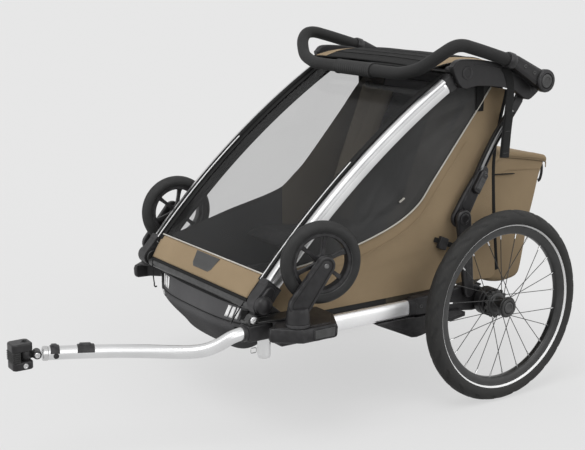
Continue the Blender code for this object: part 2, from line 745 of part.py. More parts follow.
def make_caster(side, sign):
    post = make_body("caster_axis_" + side, (sign * caster_post[0], caster_post[1], block_top),
                     caster_turn[side])
    hub = (-sign * caster_inset, caster_trail, caster_height - block_top)
    arm_inner = sign * -0.0015
    arm_outer = sign * 0.0150
    collar_top = 0.040
    arm_discs = [(caster_trail, hub[2], 0.019), (0.002, collar_top + 0.01, 0.0225)]
    fork = finish("caster_fork_" + side, prism(hull_outline(arm_discs, 20), arm_inner, arm_outer),
                  black_plastic, post, 0.003, own_frame=True)
    collar_shape = bmesh.new()
    bmesh.ops.create_cone(collar_shape, cap_ends=True, segments=24, radius1=0.0295,
                          radius2=0.0205, depth=0.045)
    bmesh.ops.translate(collar_shape, vec=(0.0, 0.0, 0.0225 + gap), verts=collar_shape.verts)
    collar = finish("caster_collar_" + side, collar_shape, black_plastic, post, 0, True)
    combine(fork, collar, "UNION")
    stem = finish("caster_stem_" + side, rod((0, 0, -0.028), (0, 0, 0.01), 0.0105), black_metal,
                  post, 0, True)
    combine(fork, stem, "UNION")
    axle_start = sign * 0.002
    axle_end = -sign * (caster_inset + 0.012)
    axle = finish("caster_axle_" + side, rod((axle_start, *hub[1:]), (axle_end, *hub[1:]), 0.004, 12),
                  black_metal, post, 0, True)
    combine(fork, axle, "UNION")
    make_caster_wheel(side, post, hub)


def make_caster_wheel(side, post, hub):
    tread = 0.0180
    bed = caster_radius - 0.026
    tyre = [(bed, -0.012), (bed + 0.010, -tread), (bed + 0.018, -tread * 0.9),
            (caster_radius, -0.008), (caster_radius, 0.008), (bed + 0.018, tread * 0.9),
            (bed + 0.010, tread), (bed, 0.012)]
    finish("caster_tyre_" + side, turned(tyre, 28, hub), rubber, post, 0, True)
    bed -= gap
    rim = [(bed - 0.009, -0.012), (bed, -0.012), (bed, 0.012), (bed - 0.009, 0.012)]
    wheel = finish("caster_wheel_" + side, turned(rim, 28, hub), black_plastic, post, 0, True)
    hub_ring = turned([(0.0045, -0.013), (0.014, -0.013), (0.014, 0.013), (0.0045, 0.013)],
                      16, hub)
    core = finish("caster_hub_" + side, hub_ring, black_plastic, post, 0, True)
    combine(wheel, core, "UNION")
    shape = bmesh.new()
    for k in range(6):
        turn = 2 * math.pi * k / 6 + math.radians(20.0)
        out = Vector((math.cos(turn), math.sin(turn)))
        wide = Vector((-out.y, out.x))
        outline = []
        for reach, half in ((0.011, 0.0065), (bed - 0.005, 0.0050)):
            outline += [out * reach + wide * half, out * reach - wide * half]
        outline = [outline[0], outline[1], outline[3], outline[2]]
        spots = [(hub[1] + point.x, hub[2] + point.y) for point in outline]
        add_prism(shape, spots, hub[0] - 0.006, hub[0] + 0.006, "X")
    spokes = finish("caster_spokes_" + side, shape, black_plastic, post, 0, True)
    combine(wheel, spokes, "UNION")


def make_caster_release(side, sign):
    body = make_body("caster_release_axis_" + side, (sign * block_face, -0.582, 0.289))
    finish("caster_release_" + side,
           prism(release_outline(0.0006), sign * (block_face - 0.007), sign * (block_face + 0.0005)),
           grey_plastic, body, 0.001)


# Hitch arm and head

arm_route = [(0.112, -1.150, 0.2680), (0.130, -1.085, 0.2640), (0.154, -1.010, 0.2590),
             (0.180, -0.940, 0.2530), (0.205, -0.885, 0.2480), (0.228, -0.842, 0.2460),
             (0.248, -0.810, 0.2510), (0.264, -0.783, 0.2640), (0.275, -0.760, 0.2785),
             (arm_post[0], -0.735, arm_level), (arm_post[0], -0.715, arm_level)]
tail_low = 0.215
tail_bend = 0.026


def arm_path():
    path = curve_through(arm_route, 2)
    centre_y = arm_post[1] - tail_bend
    for i in range(7):
        turn = math.pi / 2 * (1.0 - i / 6)
        path.append(Vector((arm_post[0], centre_y + tail_bend * math.cos(turn),
                            arm_level - tail_bend + tail_bend * math.sin(turn))))
    path.append(Vector((*arm_post, tail_low)))
    return path


def make_hitch():
    arm = make_body("hitch_arm_axis", (*arm_post, 0.0))
    finish("hitch_arm", swept(arm_path(), round_section(arm_radius, 10)), silver, arm)
    x, y = arm_post
    plan = hull_outline([(x, y, 0.0205), (x - 0.020, y - 0.053, 0), (x + 0.020, y - 0.053, 0)], 20)
    clamp = finish("hitch_clamp", prism(plan, 0.2655, block_top - 0.0005, "Z"),
                   black_plastic, arm, 0.0015)
    channel = finish("clamp_channel", swept(arm_path(), round_section(arm_radius + gap, 10)),
                     black_plastic, arm)
    combine(clamp, channel, "DIFFERENCE")
    pin_axis = make_body("hitch_pin_axis", (0.3025, -0.717, 0.319))
    pin = finish("hitch_pin", rod((0.2845, -0.717, 0.319), (0.304, -0.717, 0.319), 0.0040, 12),
                 silver, pin_axis)
    head = finish("hitch_pin_head", rod((0.3025, -0.717, 0.319), (0.3065, -0.717, 0.319), 0.0080),
                  silver, pin_axis)
    combine(pin, head, "UNION")
    make_hitch_head()


def make_hitch_head():
    end = Vector(arm_route[0])
    heading = (end - Vector(arm_route[1])).normalized()
    lateral = Vector((heading.y, -heading.x, 0.0)).normalized()
    pitch = end + heading * 0.0115
    eye = pitch + heading * 0.0265
    neck_axis = make_body("hitch_neck_axis", pitch)
    neck = finish("hitch_neck", rod(pitch - lateral * 0.0135, pitch + lateral * 0.0135, 0.0095),
                  black_plastic, neck_axis)
    bar = finish("neck_bar", rod(pitch, eye, 0.0075, 12), black_plastic, neck_axis)
    combine(neck, bar, "UNION")
    up = Vector((0.0, 0.0, 1.0))
    ring = finish("neck_eye", rod(eye - up * 0.0108, eye + up * 0.0108, 0.0135), black_plastic,
                  neck_axis)
    combine(neck, ring, "UNION")
    bore = finish("neck_bore", rod(eye - up * 0.02, eye + up * 0.02, 0.0055, 12), black_plastic,
                  neck_axis)
    combine(neck, bore, "DIFFERENCE")
    head_axis = make_body("hitch_head_axis", eye)
    half_x, front, back, half_z = 0.021, 0.034, 0.0135, 0.030
    plan = [(eye.x - half_x, eye.y - front), (eye.x + half_x, eye.y - front),
            (eye.x + half_x, eye.y + back - 0.006), (eye.x + half_x - 0.006, eye.y + back),
            (eye.x - half_x + 0.006, eye.y + back), (eye.x - half_x, eye.y + back - 0.006)]
    head = finish("hitch_head", prism(plan, eye.z - half_z, eye.z + half_z, "Z"),
                  black_plastic, head_axis, 0.003)
    slot_half = 0.0115
    mouth = [(eye.y - 0.0155, eye.z - slot_half), (eye.y + 0.05, eye.z - slot_half),
             (eye.y + 0.05, eye.z + slot_half), (eye.y - 0.0155, eye.z + slot_half)]
    slot = finish("head_slot", prism(mouth, eye.x - 0.05, eye.x + 0.05), black_plastic, head_axis)
    combine(head, slot, "DIFFERENCE")
    post = finish("head_post", rod(eye - up * 0.02, eye + up * 0.02, 0.0050, 12), black_plastic,
                  head_axis)
    combine(head, post, "UNION")


def make_brake_pedal():
    """Foot pedal that turns on the axle beam, on the left."""
    axis = make_body("brake_pedal_axis", (0.0, 0.0, axle_height))
    sleeve = turned([(0.0165, -0.020), (0.0215, -0.020), (0.0215, 0.020), (0.0165, 0.020)],
                    20, (0.160, 0.0, axle_height))
    pedal = finish("brake_pedal", sleeve, black_plastic, axis)
    pad = [(0.0195, axle_height - 0.004), (0.078, axle_height + 0.002),
           (0.080, axle_height + 0.009), (0.0195, axle_height + 0.006)]
    plate = finish("pedal_plate", prism(pad, 0.128, 0.192), black_plastic, axis)
    combine(pedal, plate, "UNION")


for side_name, sign_of in sides:
    make_rail(side_name, sign_of)
    make_front_block(side_name, sign_of)
    make_rear_block(side_name, sign_of)
    make_leaf_spring(side_name, sign_of)
    make_side_panel(side_name, sign_of)
    make_front_tube(side_name, sign_of)
    make_knuckle(side_name, sign_of)
    make_corner_bracket(side_name, sign_of)
    make_strut(side_name, sign_of)
    make_rear_wheel(side_name, sign_of)
    make_caster(side_name, sign_of)
    make_caster_release(side_name, sign_of)
make_cross_members()
make_hitch_bracket()
make_belly()
make_seat()
make_back_panel()
make_cargo_bag()
make_roof()
make_front_cover()
make_hand_strap()
make_handlebar()
make_hitch()
make_brake_pedal()
bpy.context.view_layer.update()
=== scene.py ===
from math import acos, atan2, copysign, cos, degrees, exp, hypot, pi, radians, sin, sqrt

import bmesh
import bpy
from mathutils import Matrix, Vector, noise


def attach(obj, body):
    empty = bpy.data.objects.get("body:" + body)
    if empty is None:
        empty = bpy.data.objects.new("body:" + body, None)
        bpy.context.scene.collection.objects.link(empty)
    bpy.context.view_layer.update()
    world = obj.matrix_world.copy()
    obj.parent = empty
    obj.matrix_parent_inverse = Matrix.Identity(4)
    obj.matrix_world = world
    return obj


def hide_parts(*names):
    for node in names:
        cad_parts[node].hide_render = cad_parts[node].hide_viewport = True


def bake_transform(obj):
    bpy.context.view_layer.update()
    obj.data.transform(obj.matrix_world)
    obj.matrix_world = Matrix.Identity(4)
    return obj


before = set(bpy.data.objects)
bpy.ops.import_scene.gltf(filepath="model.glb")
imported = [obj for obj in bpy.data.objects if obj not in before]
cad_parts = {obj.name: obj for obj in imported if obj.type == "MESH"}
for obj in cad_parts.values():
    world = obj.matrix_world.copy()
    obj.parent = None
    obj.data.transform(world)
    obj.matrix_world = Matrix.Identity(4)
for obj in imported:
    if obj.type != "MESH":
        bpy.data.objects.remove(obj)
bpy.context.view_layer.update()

axleShift = 0.4673    # the drawing's zero is the rear axle, the model's is the middle of its box
axleHeight = 0.25     # of the rear axle above the ground
sides = (("left", 1), ("right", -1))


# Camera

view = {
    "azimuth": 56.356,
    "elevation": 12.723,
    "place": (2.515, -2.083, 1.128),
    "lens": 73.483,
}


def makeCamera():
    around, above = radians(view["azimuth"]), radians(view["elevation"])
    back = Vector((sin(around) * cos(above), -cos(around) * cos(above), sin(above)))
    right = Vector((cos(around), sin(around), 0.0))
    up = back.cross(right)
    spot = Vector(view["place"]) + Vector((0.0, axleShift, 0.0))
    camera = bpy.data.objects.new("camera", bpy.data.cameras.new("camera"))
    camera.data.lens = view["lens"]
    camera.data.sensor_width = 36.0
    camera.matrix_world = Matrix.Translation(spot) @ Matrix((right, up, back)).transposed().to_4x4()
    bpy.context.scene.collection.objects.link(camera)
    bpy.context.scene.camera = camera


makeCamera()


# Shape makers. Every shape is drawn about the rear axle and moved to the model's place by addPiece.

def ring(centre, radius, count, start=0.0):
    turn = 2.0 * pi / count
    return [(centre[0] + radius * cos(start + i * turn), centre[1] + radius * sin(start + i * turn))
        for i in range(count)]


def side2(a, b, c):
    return (b[0] - a[0]) * (c[1] - a[1]) - (b[1] - a[1]) * (c[0] - a[0])


def belt(discs, count=28):
    # outline of a belt pulled tight round discs of (first, second, radius)
    points = []
    for first, second, radius in discs:
        points += ring((first, second), radius, count) if radius else [(first, second)]
    points = sorted(set(points))
    halves = []
    for run in (points, points[::-1]):
        chain = []
        for point in run:
            while len(chain) > 1 and side2(chain[-2], chain[-1], point) <= 1e-10:
                chain.pop()
            chain.append(point)
        halves += chain[:-1]
    return halves


def smoothLine(points, perSpan, closed=False):
    points = [Vector(p) for p in points]
    if closed:
        run = [points[-1]] + points + points[:2]
    else:
        run = [points[0] * 2 - points[1]] + points + [points[-1] * 2 - points[-2]]
    line = []
    for i in range(1, len(run) - 2):
        a, b, c, d = run[i - 1:i + 3]
        for k in range(perSpan):
            t = k / perSpan
            line.append(0.5 * (2 * b + (c - a) * t + (2 * a - 5 * b + 4 * c - d) * t * t
                + (3 * b - a - 3 * c + d) * t ** 3))
    return line if closed else line + [points[-1]]


def skin(shape, rows, wrap=False, loop=False, caps=False):
    # joins rows of points with faces and lays their map out in metres
    layer = shape.loops.layers.uv.verify()
    rows = [[Vector(p) for p in row] for row in rows]
    verts = [[shape.verts.new(p) for p in row] for row in rows]
    wide, tall = len(rows[0]), len(rows)
    middle, across, along = rows[tall // 2], [0.0], [0.0]
    for j in range(wide):
        across.append(across[-1] + (middle[(j + 1) % wide] - middle[j]).length)
    for i in range(tall):
        along.append(along[-1] + (rows[(i + 1) % tall][wide // 2] - rows[i][wide // 2]).length)
    for i in range(tall if loop else tall - 1):
        for j in range(wide if wrap else wide - 1):
            i2, j2 = (i + 1) % tall, (j + 1) % wide
            face = shape.faces.new((verts[i][j], verts[i][j2], verts[i2][j2], verts[i2][j]))
            for corner, (u, v) in zip(face.loops, ((j, i), (j + 1, i), (j + 1, i + 1), (j, i + 1))):
                corner[layer].uv = (across[u], along[v])
    if caps:
        shape.faces.new(verts[0][::-1])
        shape.faces.new(verts[-1])
    return verts


def prism(outline, low, high, axis="X", shape=None):
    shape = shape or bmesh.new()
    spot = "XYZ".index(axis)
    rows = []
    for level in (min(low, high), max(low, high)):
        rows.append([list(p)[:spot] + [level] + list(p)[spot:] for p in outline])
    skin(shape, rows, wrap=True, caps=True)
    return shape


def lathe(profile, steps, centre, direction=(1, 0, 0), shape=None, closed=False):
    # turns a profile of (radius, distance along the axis) round an axis
    shape = shape or bmesh.new()
    axis = Vector(direction).normalized()
    one = axis.orthogonal().normalized()
    two = axis.cross(one)
    rows = []
    for i in range(steps):
        turn = 2.0 * pi * i / steps
        out = one * cos(turn) + two * sin(turn)
        rows.append([Vector(centre) + axis * along + out * radius for radius, along in profile])
    skin(shape, rows, wrap=closed, loop=True)
    bmesh.ops.remove_doubles(shape, verts=shape.verts, dist=1e-6)
    return shape


def sweep(path, section, side=None, shape=None, closed=False, scale=None):
    # carries a section of (sideways, upward) offsets along a path
    shape = shape or bmesh.new()
    path = [Vector(p) for p in path]
    across = Vector(side) if side else None
    rows, last = [], len(path) - 1
    for i, point in enumerate(path):
        after = path[(i + 1) % len(path)] if closed else path[min(i + 1, last)]
        before = path[i - 1] if closed else path[max(i - 1, 0)]
        heading = (after - before).normalized()
        if across is None:
            across = heading.orthogonal()
        if side is None:
            across = (across - heading * across.dot(heading)).normalized()
        up = heading.cross(across).normalized()
        k = scale(i / last) if scale else 1.0
        rows.append([point + across * a * k + up * b * k for a, b in section])
    skin(shape, rows, wrap=True, loop=closed, caps=not closed)
    return shape


def rod(start, end, radius, steps=16, shape=None, bevel=0.0):
    start, end = Vector(start), Vector(end)
    length = (end - start).length
    profile = [(0.0, 0.0), (radius - bevel, 0.0), (radius, bevel), (radius, length - bevel),
        (radius - bevel, length), (0.0, length)]
    return lathe(profile, steps, start, end - start, shape)


def softBox(wide, tall, count, powerWide=0.8, powerTall=0.8):
    # section between an oval and a box: (sideways, upward)
    return [(wide * copysign(abs(c) ** powerWide, c), tall * copysign(abs(s) ** powerTall, s))
        for c, s in ring((0, 0), 1.0, count)]


def flatOval(half, thick, count=12):
    # section of a flat strap with rounded edges: (thickness, width)
    return softBox(thick, half, count, 1.0, 0.45)


def closedSkin(rows):
    # a closed body from rows of points that run round it
    shape = bmesh.new()
    skin(shape, rows, wrap=True, caps=True)
    return shape


def sidewaysOf(heading):
    return Vector((heading.y, -heading.x, 0)).normalized()


def addPiece(name, shape, material, body, bevel=0.0, bevelSteps=3, rounds=0, sharp=38.0, replaces=(),
        keepNormals=False):
    bmesh.ops.translate(shape, vec=(0.0, axleShift, 0.0), verts=shape.verts)
    if not keepNormals:
        bmesh.ops.recalc_face_normals(shape, faces=shape.faces)
    mesh = bpy.data.meshes.new(name)
    shape.to_mesh(mesh)
    shape.free()
    mesh.shade_smooth()
    if not rounds:
        mesh.set_sharp_from_angle(angle=radians(sharp))
    mesh.materials.append(material)
    piece = bpy.data.objects.new(name, mesh)
    bpy.context.scene.collection.objects.link(piece)
    if bevel:
        step = piece.modifiers.new("softEdges", "BEVEL")
        step.width = bevel
        step.segments = bevelSteps
        step.limit_method = "ANGLE"
        step.angle_limit = radians(32.0)
        step.harden_normals = False
    if rounds:
        step = piece.modifiers.new("smoothing", "SUBSURF")
        step.levels = rounds
        step.render_levels = rounds
    if body:
        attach(piece, body)
    if replaces:
        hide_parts(*replaces)
    return piece


# Effects shared by several finishes

def addNode(tree, kind, inputs=None, **settings):
    node = tree.nodes.new(kind)
    for key, value in settings.items():
        setattr(node, key, value)
    for key, value in (inputs or {}).items():
        if isinstance(value, bpy.types.NodeSocket):
            tree.links.new(value, node.inputs[key])
        else:
            node.inputs[key].default_value = value
    return node


def maths(tree, kind, a, b=0.0, clamp=False):
    return addNode(tree, "ShaderNodeMath", {0: a, 1: b}, operation=kind, use_clamp=clamp).outputs[0]


def remap(tree, value, low, high, toLow=0.0, toHigh=1.0):
    return addNode(tree, "ShaderNodeMapRange", {
        "Value": value, "From Min": low, "From Max": high, "To Min": toLow, "To Max": toHigh}).outputs[0]


def objectNoise(tree, scale, detail):
    spot = addNode(tree, "ShaderNodeTexCoord").outputs["Object"]
    return addNode(tree, "ShaderNodeTexNoise", {
        "Vector": spot, "Scale": scale, "Detail": detail}).outputs[0]


def newEffect(name, inputs, outputs):
    tree = bpy.data.node_groups.new(name, "ShaderNodeTree")
    for label, value in inputs.items():
        kind = "NodeSocketVector" if isinstance(value, tuple) else "NodeSocketFloat"
        tree.interface.new_socket(label, in_out="INPUT", socket_type=kind).default_value = value
    for label in outputs:
        tree.interface.new_socket(label, in_out="OUTPUT", socket_type="NodeSocketFloat")
    return tree, addNode(tree, "NodeGroupInput").outputs, addNode(tree, "NodeGroupOutput").inputs


def makeEdgeWearAndSheen():
    # lighter colour on sharp edges, broken up by noise: partly wear, partly a painted highlight along the
    # edges
    tree, given, out = newEffect("edge wear", {"Amount": 1.0}, ["Mask"])
    edge = remap(tree, addNode(tree, "ShaderNodeNewGeometry").outputs["Pointiness"], 0.505, 0.56)
    patchy = remap(tree, objectNoise(tree, 60.0, 4.0), 0.38, 0.62)
    mask = maths(tree, "MULTIPLY", maths(tree, "MULTIPLY", edge, patchy), given["Amount"], True)
    tree.links.new(mask, out["Mask"])
    return tree


def makeGrain():
    tree, given, out = newEffect("moulded grain", {"Scale": 900.0}, ["Height", "Cloud"])
    spot = addNode(tree, "ShaderNodeTexCoord").outputs["Object"]
    fine = addNode(tree, "ShaderNodeTexVoronoi", {
        "Vector": spot, "Scale": given["Scale"]}).outputs["Distance"]
    tree.links.new(fine, out["Height"])
    tree.links.new(objectNoise(tree, 14.0, 5.0), out["Cloud"])
    return tree


def makeWeave():
    # plain weave laid on the piece's map, which is in metres
    tree, given, out = newEffect("plain weave", {"Threads": 900.0, "Fray": 0.3}, ["Height", "Cloud"])
    parts = addNode(tree, "ShaderNodeSeparateXYZ", {0: addNode(tree, "ShaderNodeTexCoord").outputs["UV"]})
    step = maths(tree, "MULTIPLY", given["Threads"], 3.1416)
    weft, warp = [maths(tree, "SINE", maths(tree, "MULTIPLY", parts.outputs[way], step)) for way in "XY"]
    fray = maths(tree, "MULTIPLY", objectNoise(tree, 260.0, 3.0), given["Fray"])
    tree.links.new(maths(tree, "ADD", maths(tree, "MULTIPLY", weft, warp), fray), out["Height"])
    tree.links.new(objectNoise(tree, 7.0, 6.0), out["Cloud"])
    return tree


def makeDraw():
    # long fine lines left along a drawn tube
    tree, given, out = newEffect("drawn lines", {"Stretch": (900.0, 6.0, 6.0)}, ["Lines", "Cloud"])
    spot = addNode(tree, "ShaderNodeTexCoord").outputs["UV"]
    stretched = addNode(tree, "ShaderNodeVectorMath", {
        0: spot, 1: given["Stretch"]}, operation="MULTIPLY").outputs[0]
    lines = addNode(tree, "ShaderNodeTexNoise", {
        "Vector": stretched, "Scale": 1.0, "Detail": 5.0}).outputs[0]
    tree.links.new(lines, out["Lines"])
    tree.links.new(objectNoise(tree, 9.0, 3.0), out["Cloud"])
    return tree


effects = {"wearAndSheen": makeEdgeWearAndSheen(), "grain": makeGrain(), "weave": makeWeave(), "draw": makeDraw()}


def useEffect(tree, name, inputs):
    node = addNode(tree, "ShaderNodeGroup", node_tree=effects[name])
    for key, value in inputs.items():
        node.inputs[key].default_value = value
    return node.outputs


# Finishes

def shades(value):
    return (*value, 1.0) if len(value) == 3 else value


def startMaterial(name, look):
    material = bpy.data.materials.new(name)
    material.use_nodes = True
    tree = material.node_tree
    shader = tree.nodes["Principled BSDF"]
    for key in ("Metallic", "Roughness", "IOR", "Specular IOR Level", "Coat Weight", "Coat Roughness",
            "Sheen Weight", "Sheen Roughness", "Alpha"):
        if key in look:
            shader.inputs[key].default_value = look[key]
    return material, tree, shader


def blendColours(tree, mask, one, two):
    mix = addNode(tree, "ShaderNodeMix", data_type="RGBA")
    for spot, value in ((0, mask), (6, one), (7, two)):
        if isinstance(value, bpy.types.NodeSocket):
            tree.links.new(value, mix.inputs[spot])
        else:
            mix.inputs[spot].default_value = shades(value) if spot else value
    return mix.outputs[2]


def bumpFrom(tree, shader, height, strength, distance):
    bump = addNode(tree, "ShaderNodeBump", {"Height": height, "Strength": strength, "Distance": distance})
    tree.links.new(bump.outputs[0], shader.inputs["Normal"])


def mouldedMaterial(name, look):
    # plastic, rubber, foam and paint: grain, cloudy colour and lighter edges, which are partly wear and
    # partly a painted edge highlight
    material, tree, shader = startMaterial(name, look)
    grain = useEffect(tree, "grain", {"Scale": look["grain"]})
    wearAndSheen = useEffect(tree, "wearAndSheen", {"Amount": look["wearAndSheen"]})
    base = blendColours(tree, remap(tree, grain["Cloud"], 0.3, 0.7), look["dark"], look["light"])
    # the edge colour is mixed in here: wear together with a painted edge highlight
    tree.links.new(blendColours(tree, wearAndSheen["Mask"], base, look["edge"]), shader.inputs["Base Color"])
    middle = look["Roughness"]
    tree.links.new(remap(tree, grain["Cloud"], 0.3, 0.7, middle - 0.05, middle + 0.07),
        shader.inputs["Roughness"])
    bumpFrom(tree, shader, grain["Height"], look["bump"], look["depth"])
    return material


def metalMaterial(name, look):
    material, tree, shader = startMaterial(name, look)
    draw = useEffect(tree, "draw", {"Stretch": look["stretch"]})
    base = blendColours(tree, remap(tree, draw["Cloud"], 0.3, 0.7), look["dark"], look["light"])
    tree.links.new(base, shader.inputs["Base Color"])
    middle = look["Roughness"]
    tree.links.new(remap(tree, draw["Lines"], 0.3, 0.7, middle - 0.06, middle + 0.06),
        shader.inputs["Roughness"])
    bumpFrom(tree, shader, draw["Lines"], look["bump"], 0.0002)
    return material


def fabricMaterial(name, look):
    material, tree, shader = startMaterial(name, {
        "Roughness": 0.85, "Specular IOR Level": 0.2, **look})
    weave = useEffect(tree, "weave", {"Threads": look["threads"]})
    base = blendColours(tree, remap(tree, weave["Cloud"], 0.32, 0.68), look["dark"], look["light"])
    colour = blendColours(tree, remap(tree, weave["Height"], -0.6, 1.0, look["deep"], 0.0), base,
        look["thread"])
    facing = addNode(tree, "ShaderNodeNewGeometry").outputs["Backfacing"]
    if "paintedBackShade" in look:     # painted shade: the back of the cloth is drawn darker, as the inside lies in shade
        colour = blendColours(tree, facing, colour, look["paintedBackShade"])
    tree.links.new(colour, shader.inputs["Base Color"])
    bumpFrom(tree, shader, weave["Height"], look["bump"], look["depth"])
    if "inside" in look:      # dense from outside, see-through from inside, as a dark mesh looks
        tree.links.new(remap(tree, facing, 0.0, 1.0, look["Alpha"], look["inside"]), shader.inputs["Alpha"])
    return material


def filmMaterial(name, look):
    material, tree, shader = startMaterial(name, look)
    smear = objectNoise(tree, 5.0, 3.0)
    tree.links.new(blendColours(tree, smear, look["dark"], look["light"]), shader.inputs["Base Color"])
    tree.links.new(remap(tree, smear, 0.0, 1.0, 0.06, 0.16), shader.inputs["Roughness"])
    haze = remap(tree, smear, 0.0, 1.0, look["Alpha"] * 0.8, look["Alpha"] * 1.2)
    tree.links.new(haze, shader.inputs["Alpha"])
    bumpFrom(tree, shader, smear, 0.25, 0.004)
    return material


def grey(level):
    return (level, level, level)


silver = metalMaterial("drawnAluminium", {
    "dark": (0.66, 0.662, 0.665), "light": (0.76, 0.762, 0.765), "Metallic": 1.0, "Roughness": 0.33,
    "stretch": (900.0, 5.0, 5.0), "bump": 0.12})
# a paler copy of the aluminium for the rails: painted reflection, brighter than the tubes so that the rails
# shine near white
paintedReflectionMetal = metalMaterial("paintedReflectionAluminium", {
    "dark": (0.9, 0.9, 0.905), "light": (0.97, 0.97, 0.975), "Metallic": 0.9, "Roughness": 0.38,
    "stretch": (5.0, 900.0, 5.0), "bump": 0.1})
# a darker, rougher copy of the aluminium for the strip in the tubes' groove: painted shade along the groove
paintedGrooveShadeMetal = metalMaterial("paintedGrooveShadeAluminium", {
    "dark": (0.5, 0.502, 0.505), "light": (0.6, 0.602, 0.605), "Metallic": 1.0, "Roughness": 0.55,
    "stretch": (900.0, 5.0, 5.0), "bump": 0.12})
brightSteel = metalMaterial("brightSteel", {
    "dark": grey(0.55), "light": grey(0.75), "Metallic": 1.0, "Roughness": 0.25,
    "stretch": (300.0, 300.0, 1.0), "bump": 0.05})
slideMetal = metalMaterial("slideMetal", {
    "dark": grey(0.14), "light": grey(0.2), "Metallic": 0.85, "Roughness": 0.42,
    "stretch": (300.0, 8.0, 8.0), "bump": 0.08})
darkSteel = metalMaterial("darkSpokeSteel", {
    "dark": grey(0.035), "light": grey(0.07), "Metallic": 0.8, "Roughness": 0.35,
    "stretch": (300.0, 40.0, 1.0), "bump": 0.05})
blackPlastic = mouldedMaterial("blackMouldedPlastic", {
    "dark": (0.011, 0.0104, 0.0112), "light": (0.018, 0.0174, 0.0184), "edge": (0.055, 0.054, 0.056),
    "Roughness": 0.4, "Specular IOR Level": 0.34, "grain": 1500.0, "wearAndSheen": 0.55, "bump": 0.12,
    "depth": 0.0003})
greyPlastic = mouldedMaterial("greyMouldedPlastic", {
    "dark": grey(0.032), "light": grey(0.046), "edge": grey(0.09), "Roughness": 0.5, "grain": 1500.0,
    "wearAndSheen": 0.5, "bump": 0.1, "depth": 0.0003})
blackPaint = mouldedMaterial("blackPaint", {
    "dark": grey(0.009), "light": grey(0.014), "edge": grey(0.05), "Roughness": 0.36, "grain": 2600.0,
    "wearAndSheen": 0.5, "bump": 0.05, "depth": 0.0002, "Coat Weight": 0.15, "Coat Roughness": 0.2})
foamSkin = mouldedMaterial("handlebarFoam", {
    "dark": grey(0.014), "light": grey(0.02), "edge": grey(0.028), "Roughness": 0.72, "grain": 1100.0,
    "wearAndSheen": 0.3, "bump": 0.5, "depth": 0.0006, "Specular IOR Level": 0.3, "Sheen Weight": 0.03,
    "Sheen Roughness": 0.5})
gripRubber = mouldedMaterial("gripRubber", {
    "dark": grey(0.015), "light": grey(0.022), "edge": grey(0.04), "Roughness": 0.64,
    "Specular IOR Level": 0.35, "grain": 900.0, "wearAndSheen": 0.5, "bump": 0.3, "depth": 0.0004})
tyreRubber = mouldedMaterial("tyreRubber", {
    "dark": (0.019, 0.019, 0.0185), "light": (0.027, 0.0265, 0.0258), "edge": (0.055, 0.053, 0.05),
    "Roughness": 0.7, "Specular IOR Level": 0.35, "grain": 700.0, "wearAndSheen": 0.6, "bump": 0.3,
    "depth": 0.0006})
reflector = mouldedMaterial("reflectiveBand", {
    "dark": grey(0.8), "light": grey(0.9), "edge": grey(0.92), "Roughness": 0.42, "grain": 900.0,
    "wearAndSheen": 0.2, "bump": 0.1, "depth": 0.0003})
# the khaki's back-face colour below is painted shade for the dim inside of the cabin
khaki = fabricMaterial("khakiFabric", {
    "dark": (0.285, 0.211, 0.128), "light": (0.345, 0.258, 0.159), "thread": (0.185, 0.137, 0.081),
    "deep": 0.3, "paintedBackShade": (0.052, 0.041, 0.029), "threads": 1100.0, "Sheen Weight": 0.03,
    "Sheen Roughness": 0.5, "bump": 0.35, "depth": 0.0006})
darkFabric = fabricMaterial("darkFabric", {
    "dark": (0.088, 0.087, 0.09), "light": (0.116, 0.115, 0.118), "thread": (0.052, 0.052, 0.054),
    "deep": 0.4, "threads": 900.0, "Sheen Weight": 0.02, "Sheen Roughness": 0.5, "bump": 0.4,
    "depth": 0.0007})
nightFabric = fabricMaterial("nightFabric", {
    "dark": grey(0.036), "light": grey(0.05), "thread": grey(0.028), "deep": 0.2, "threads": 800.0,
    "bump": 0.12, "depth": 0.0004})
roofFabric = fabricMaterial("roofFabric", {
    "dark": grey(0.015), "light": grey(0.022), "thread": grey(0.009), "deep": 0.4, "threads": 800.0,
    "bump": 0.4, "depth": 0.0007})
binding = fabricMaterial("blackBinding", {
    "dark": grey(0.01), "light": grey(0.017), "thread": grey(0.007), "deep": 0.3, "threads": 1300.0,
    "Roughness": 0.8, "bump": 0.2, "depth": 0.0004})
webbing = fabricMaterial("strapWebbing", {
    "dark": grey(0.013), "light": grey(0.022), "thread": grey(0.005), "deep": 0.5, "threads": 620.0,
    "Roughness": 0.78, "Specular IOR Level": 0.3, "bump": 0.6, "depth": 0.0008})
seatFabric = fabricMaterial("seatFabric", {
    "dark": (0.088, 0.075, 0.057), "light": (0.118, 0.102, 0.08), "thread": (0.062, 0.053, 0.042),
    "deep": 0.25, "threads": 800.0, "Roughness": 0.9, "bump": 0.25, "depth": 0.0005})
sideMesh = fabricMaterial("sideWindowMesh", {
    "dark": grey(0.042), "light": grey(0.062), "thread": grey(0.02), "deep": 0.4, "threads": 700.0,
    "Roughness": 0.62, "Alpha": 0.88, "inside": 0.16, "Specular IOR Level": 0.35, "bump": 0.3,
    "depth": 0.0006})
pipingCord = fabricMaterial("palePiping", {
    "dark": (0.5, 0.48, 0.43), "light": (0.6, 0.58, 0.53), "thread": (0.35, 0.33, 0.3), "deep": 0.3,
    "threads": 1500.0, "Roughness": 0.8, "Specular IOR Level": 0.5, "bump": 0.3, "depth": 0.0004})
clearFilm = filmMaterial("clearFilm", {
    "dark": (0.03, 0.03, 0.031), "light": (0.055, 0.055, 0.056), "Alpha": 0.26, "IOR": 1.4})


# Light, backdrop and floor

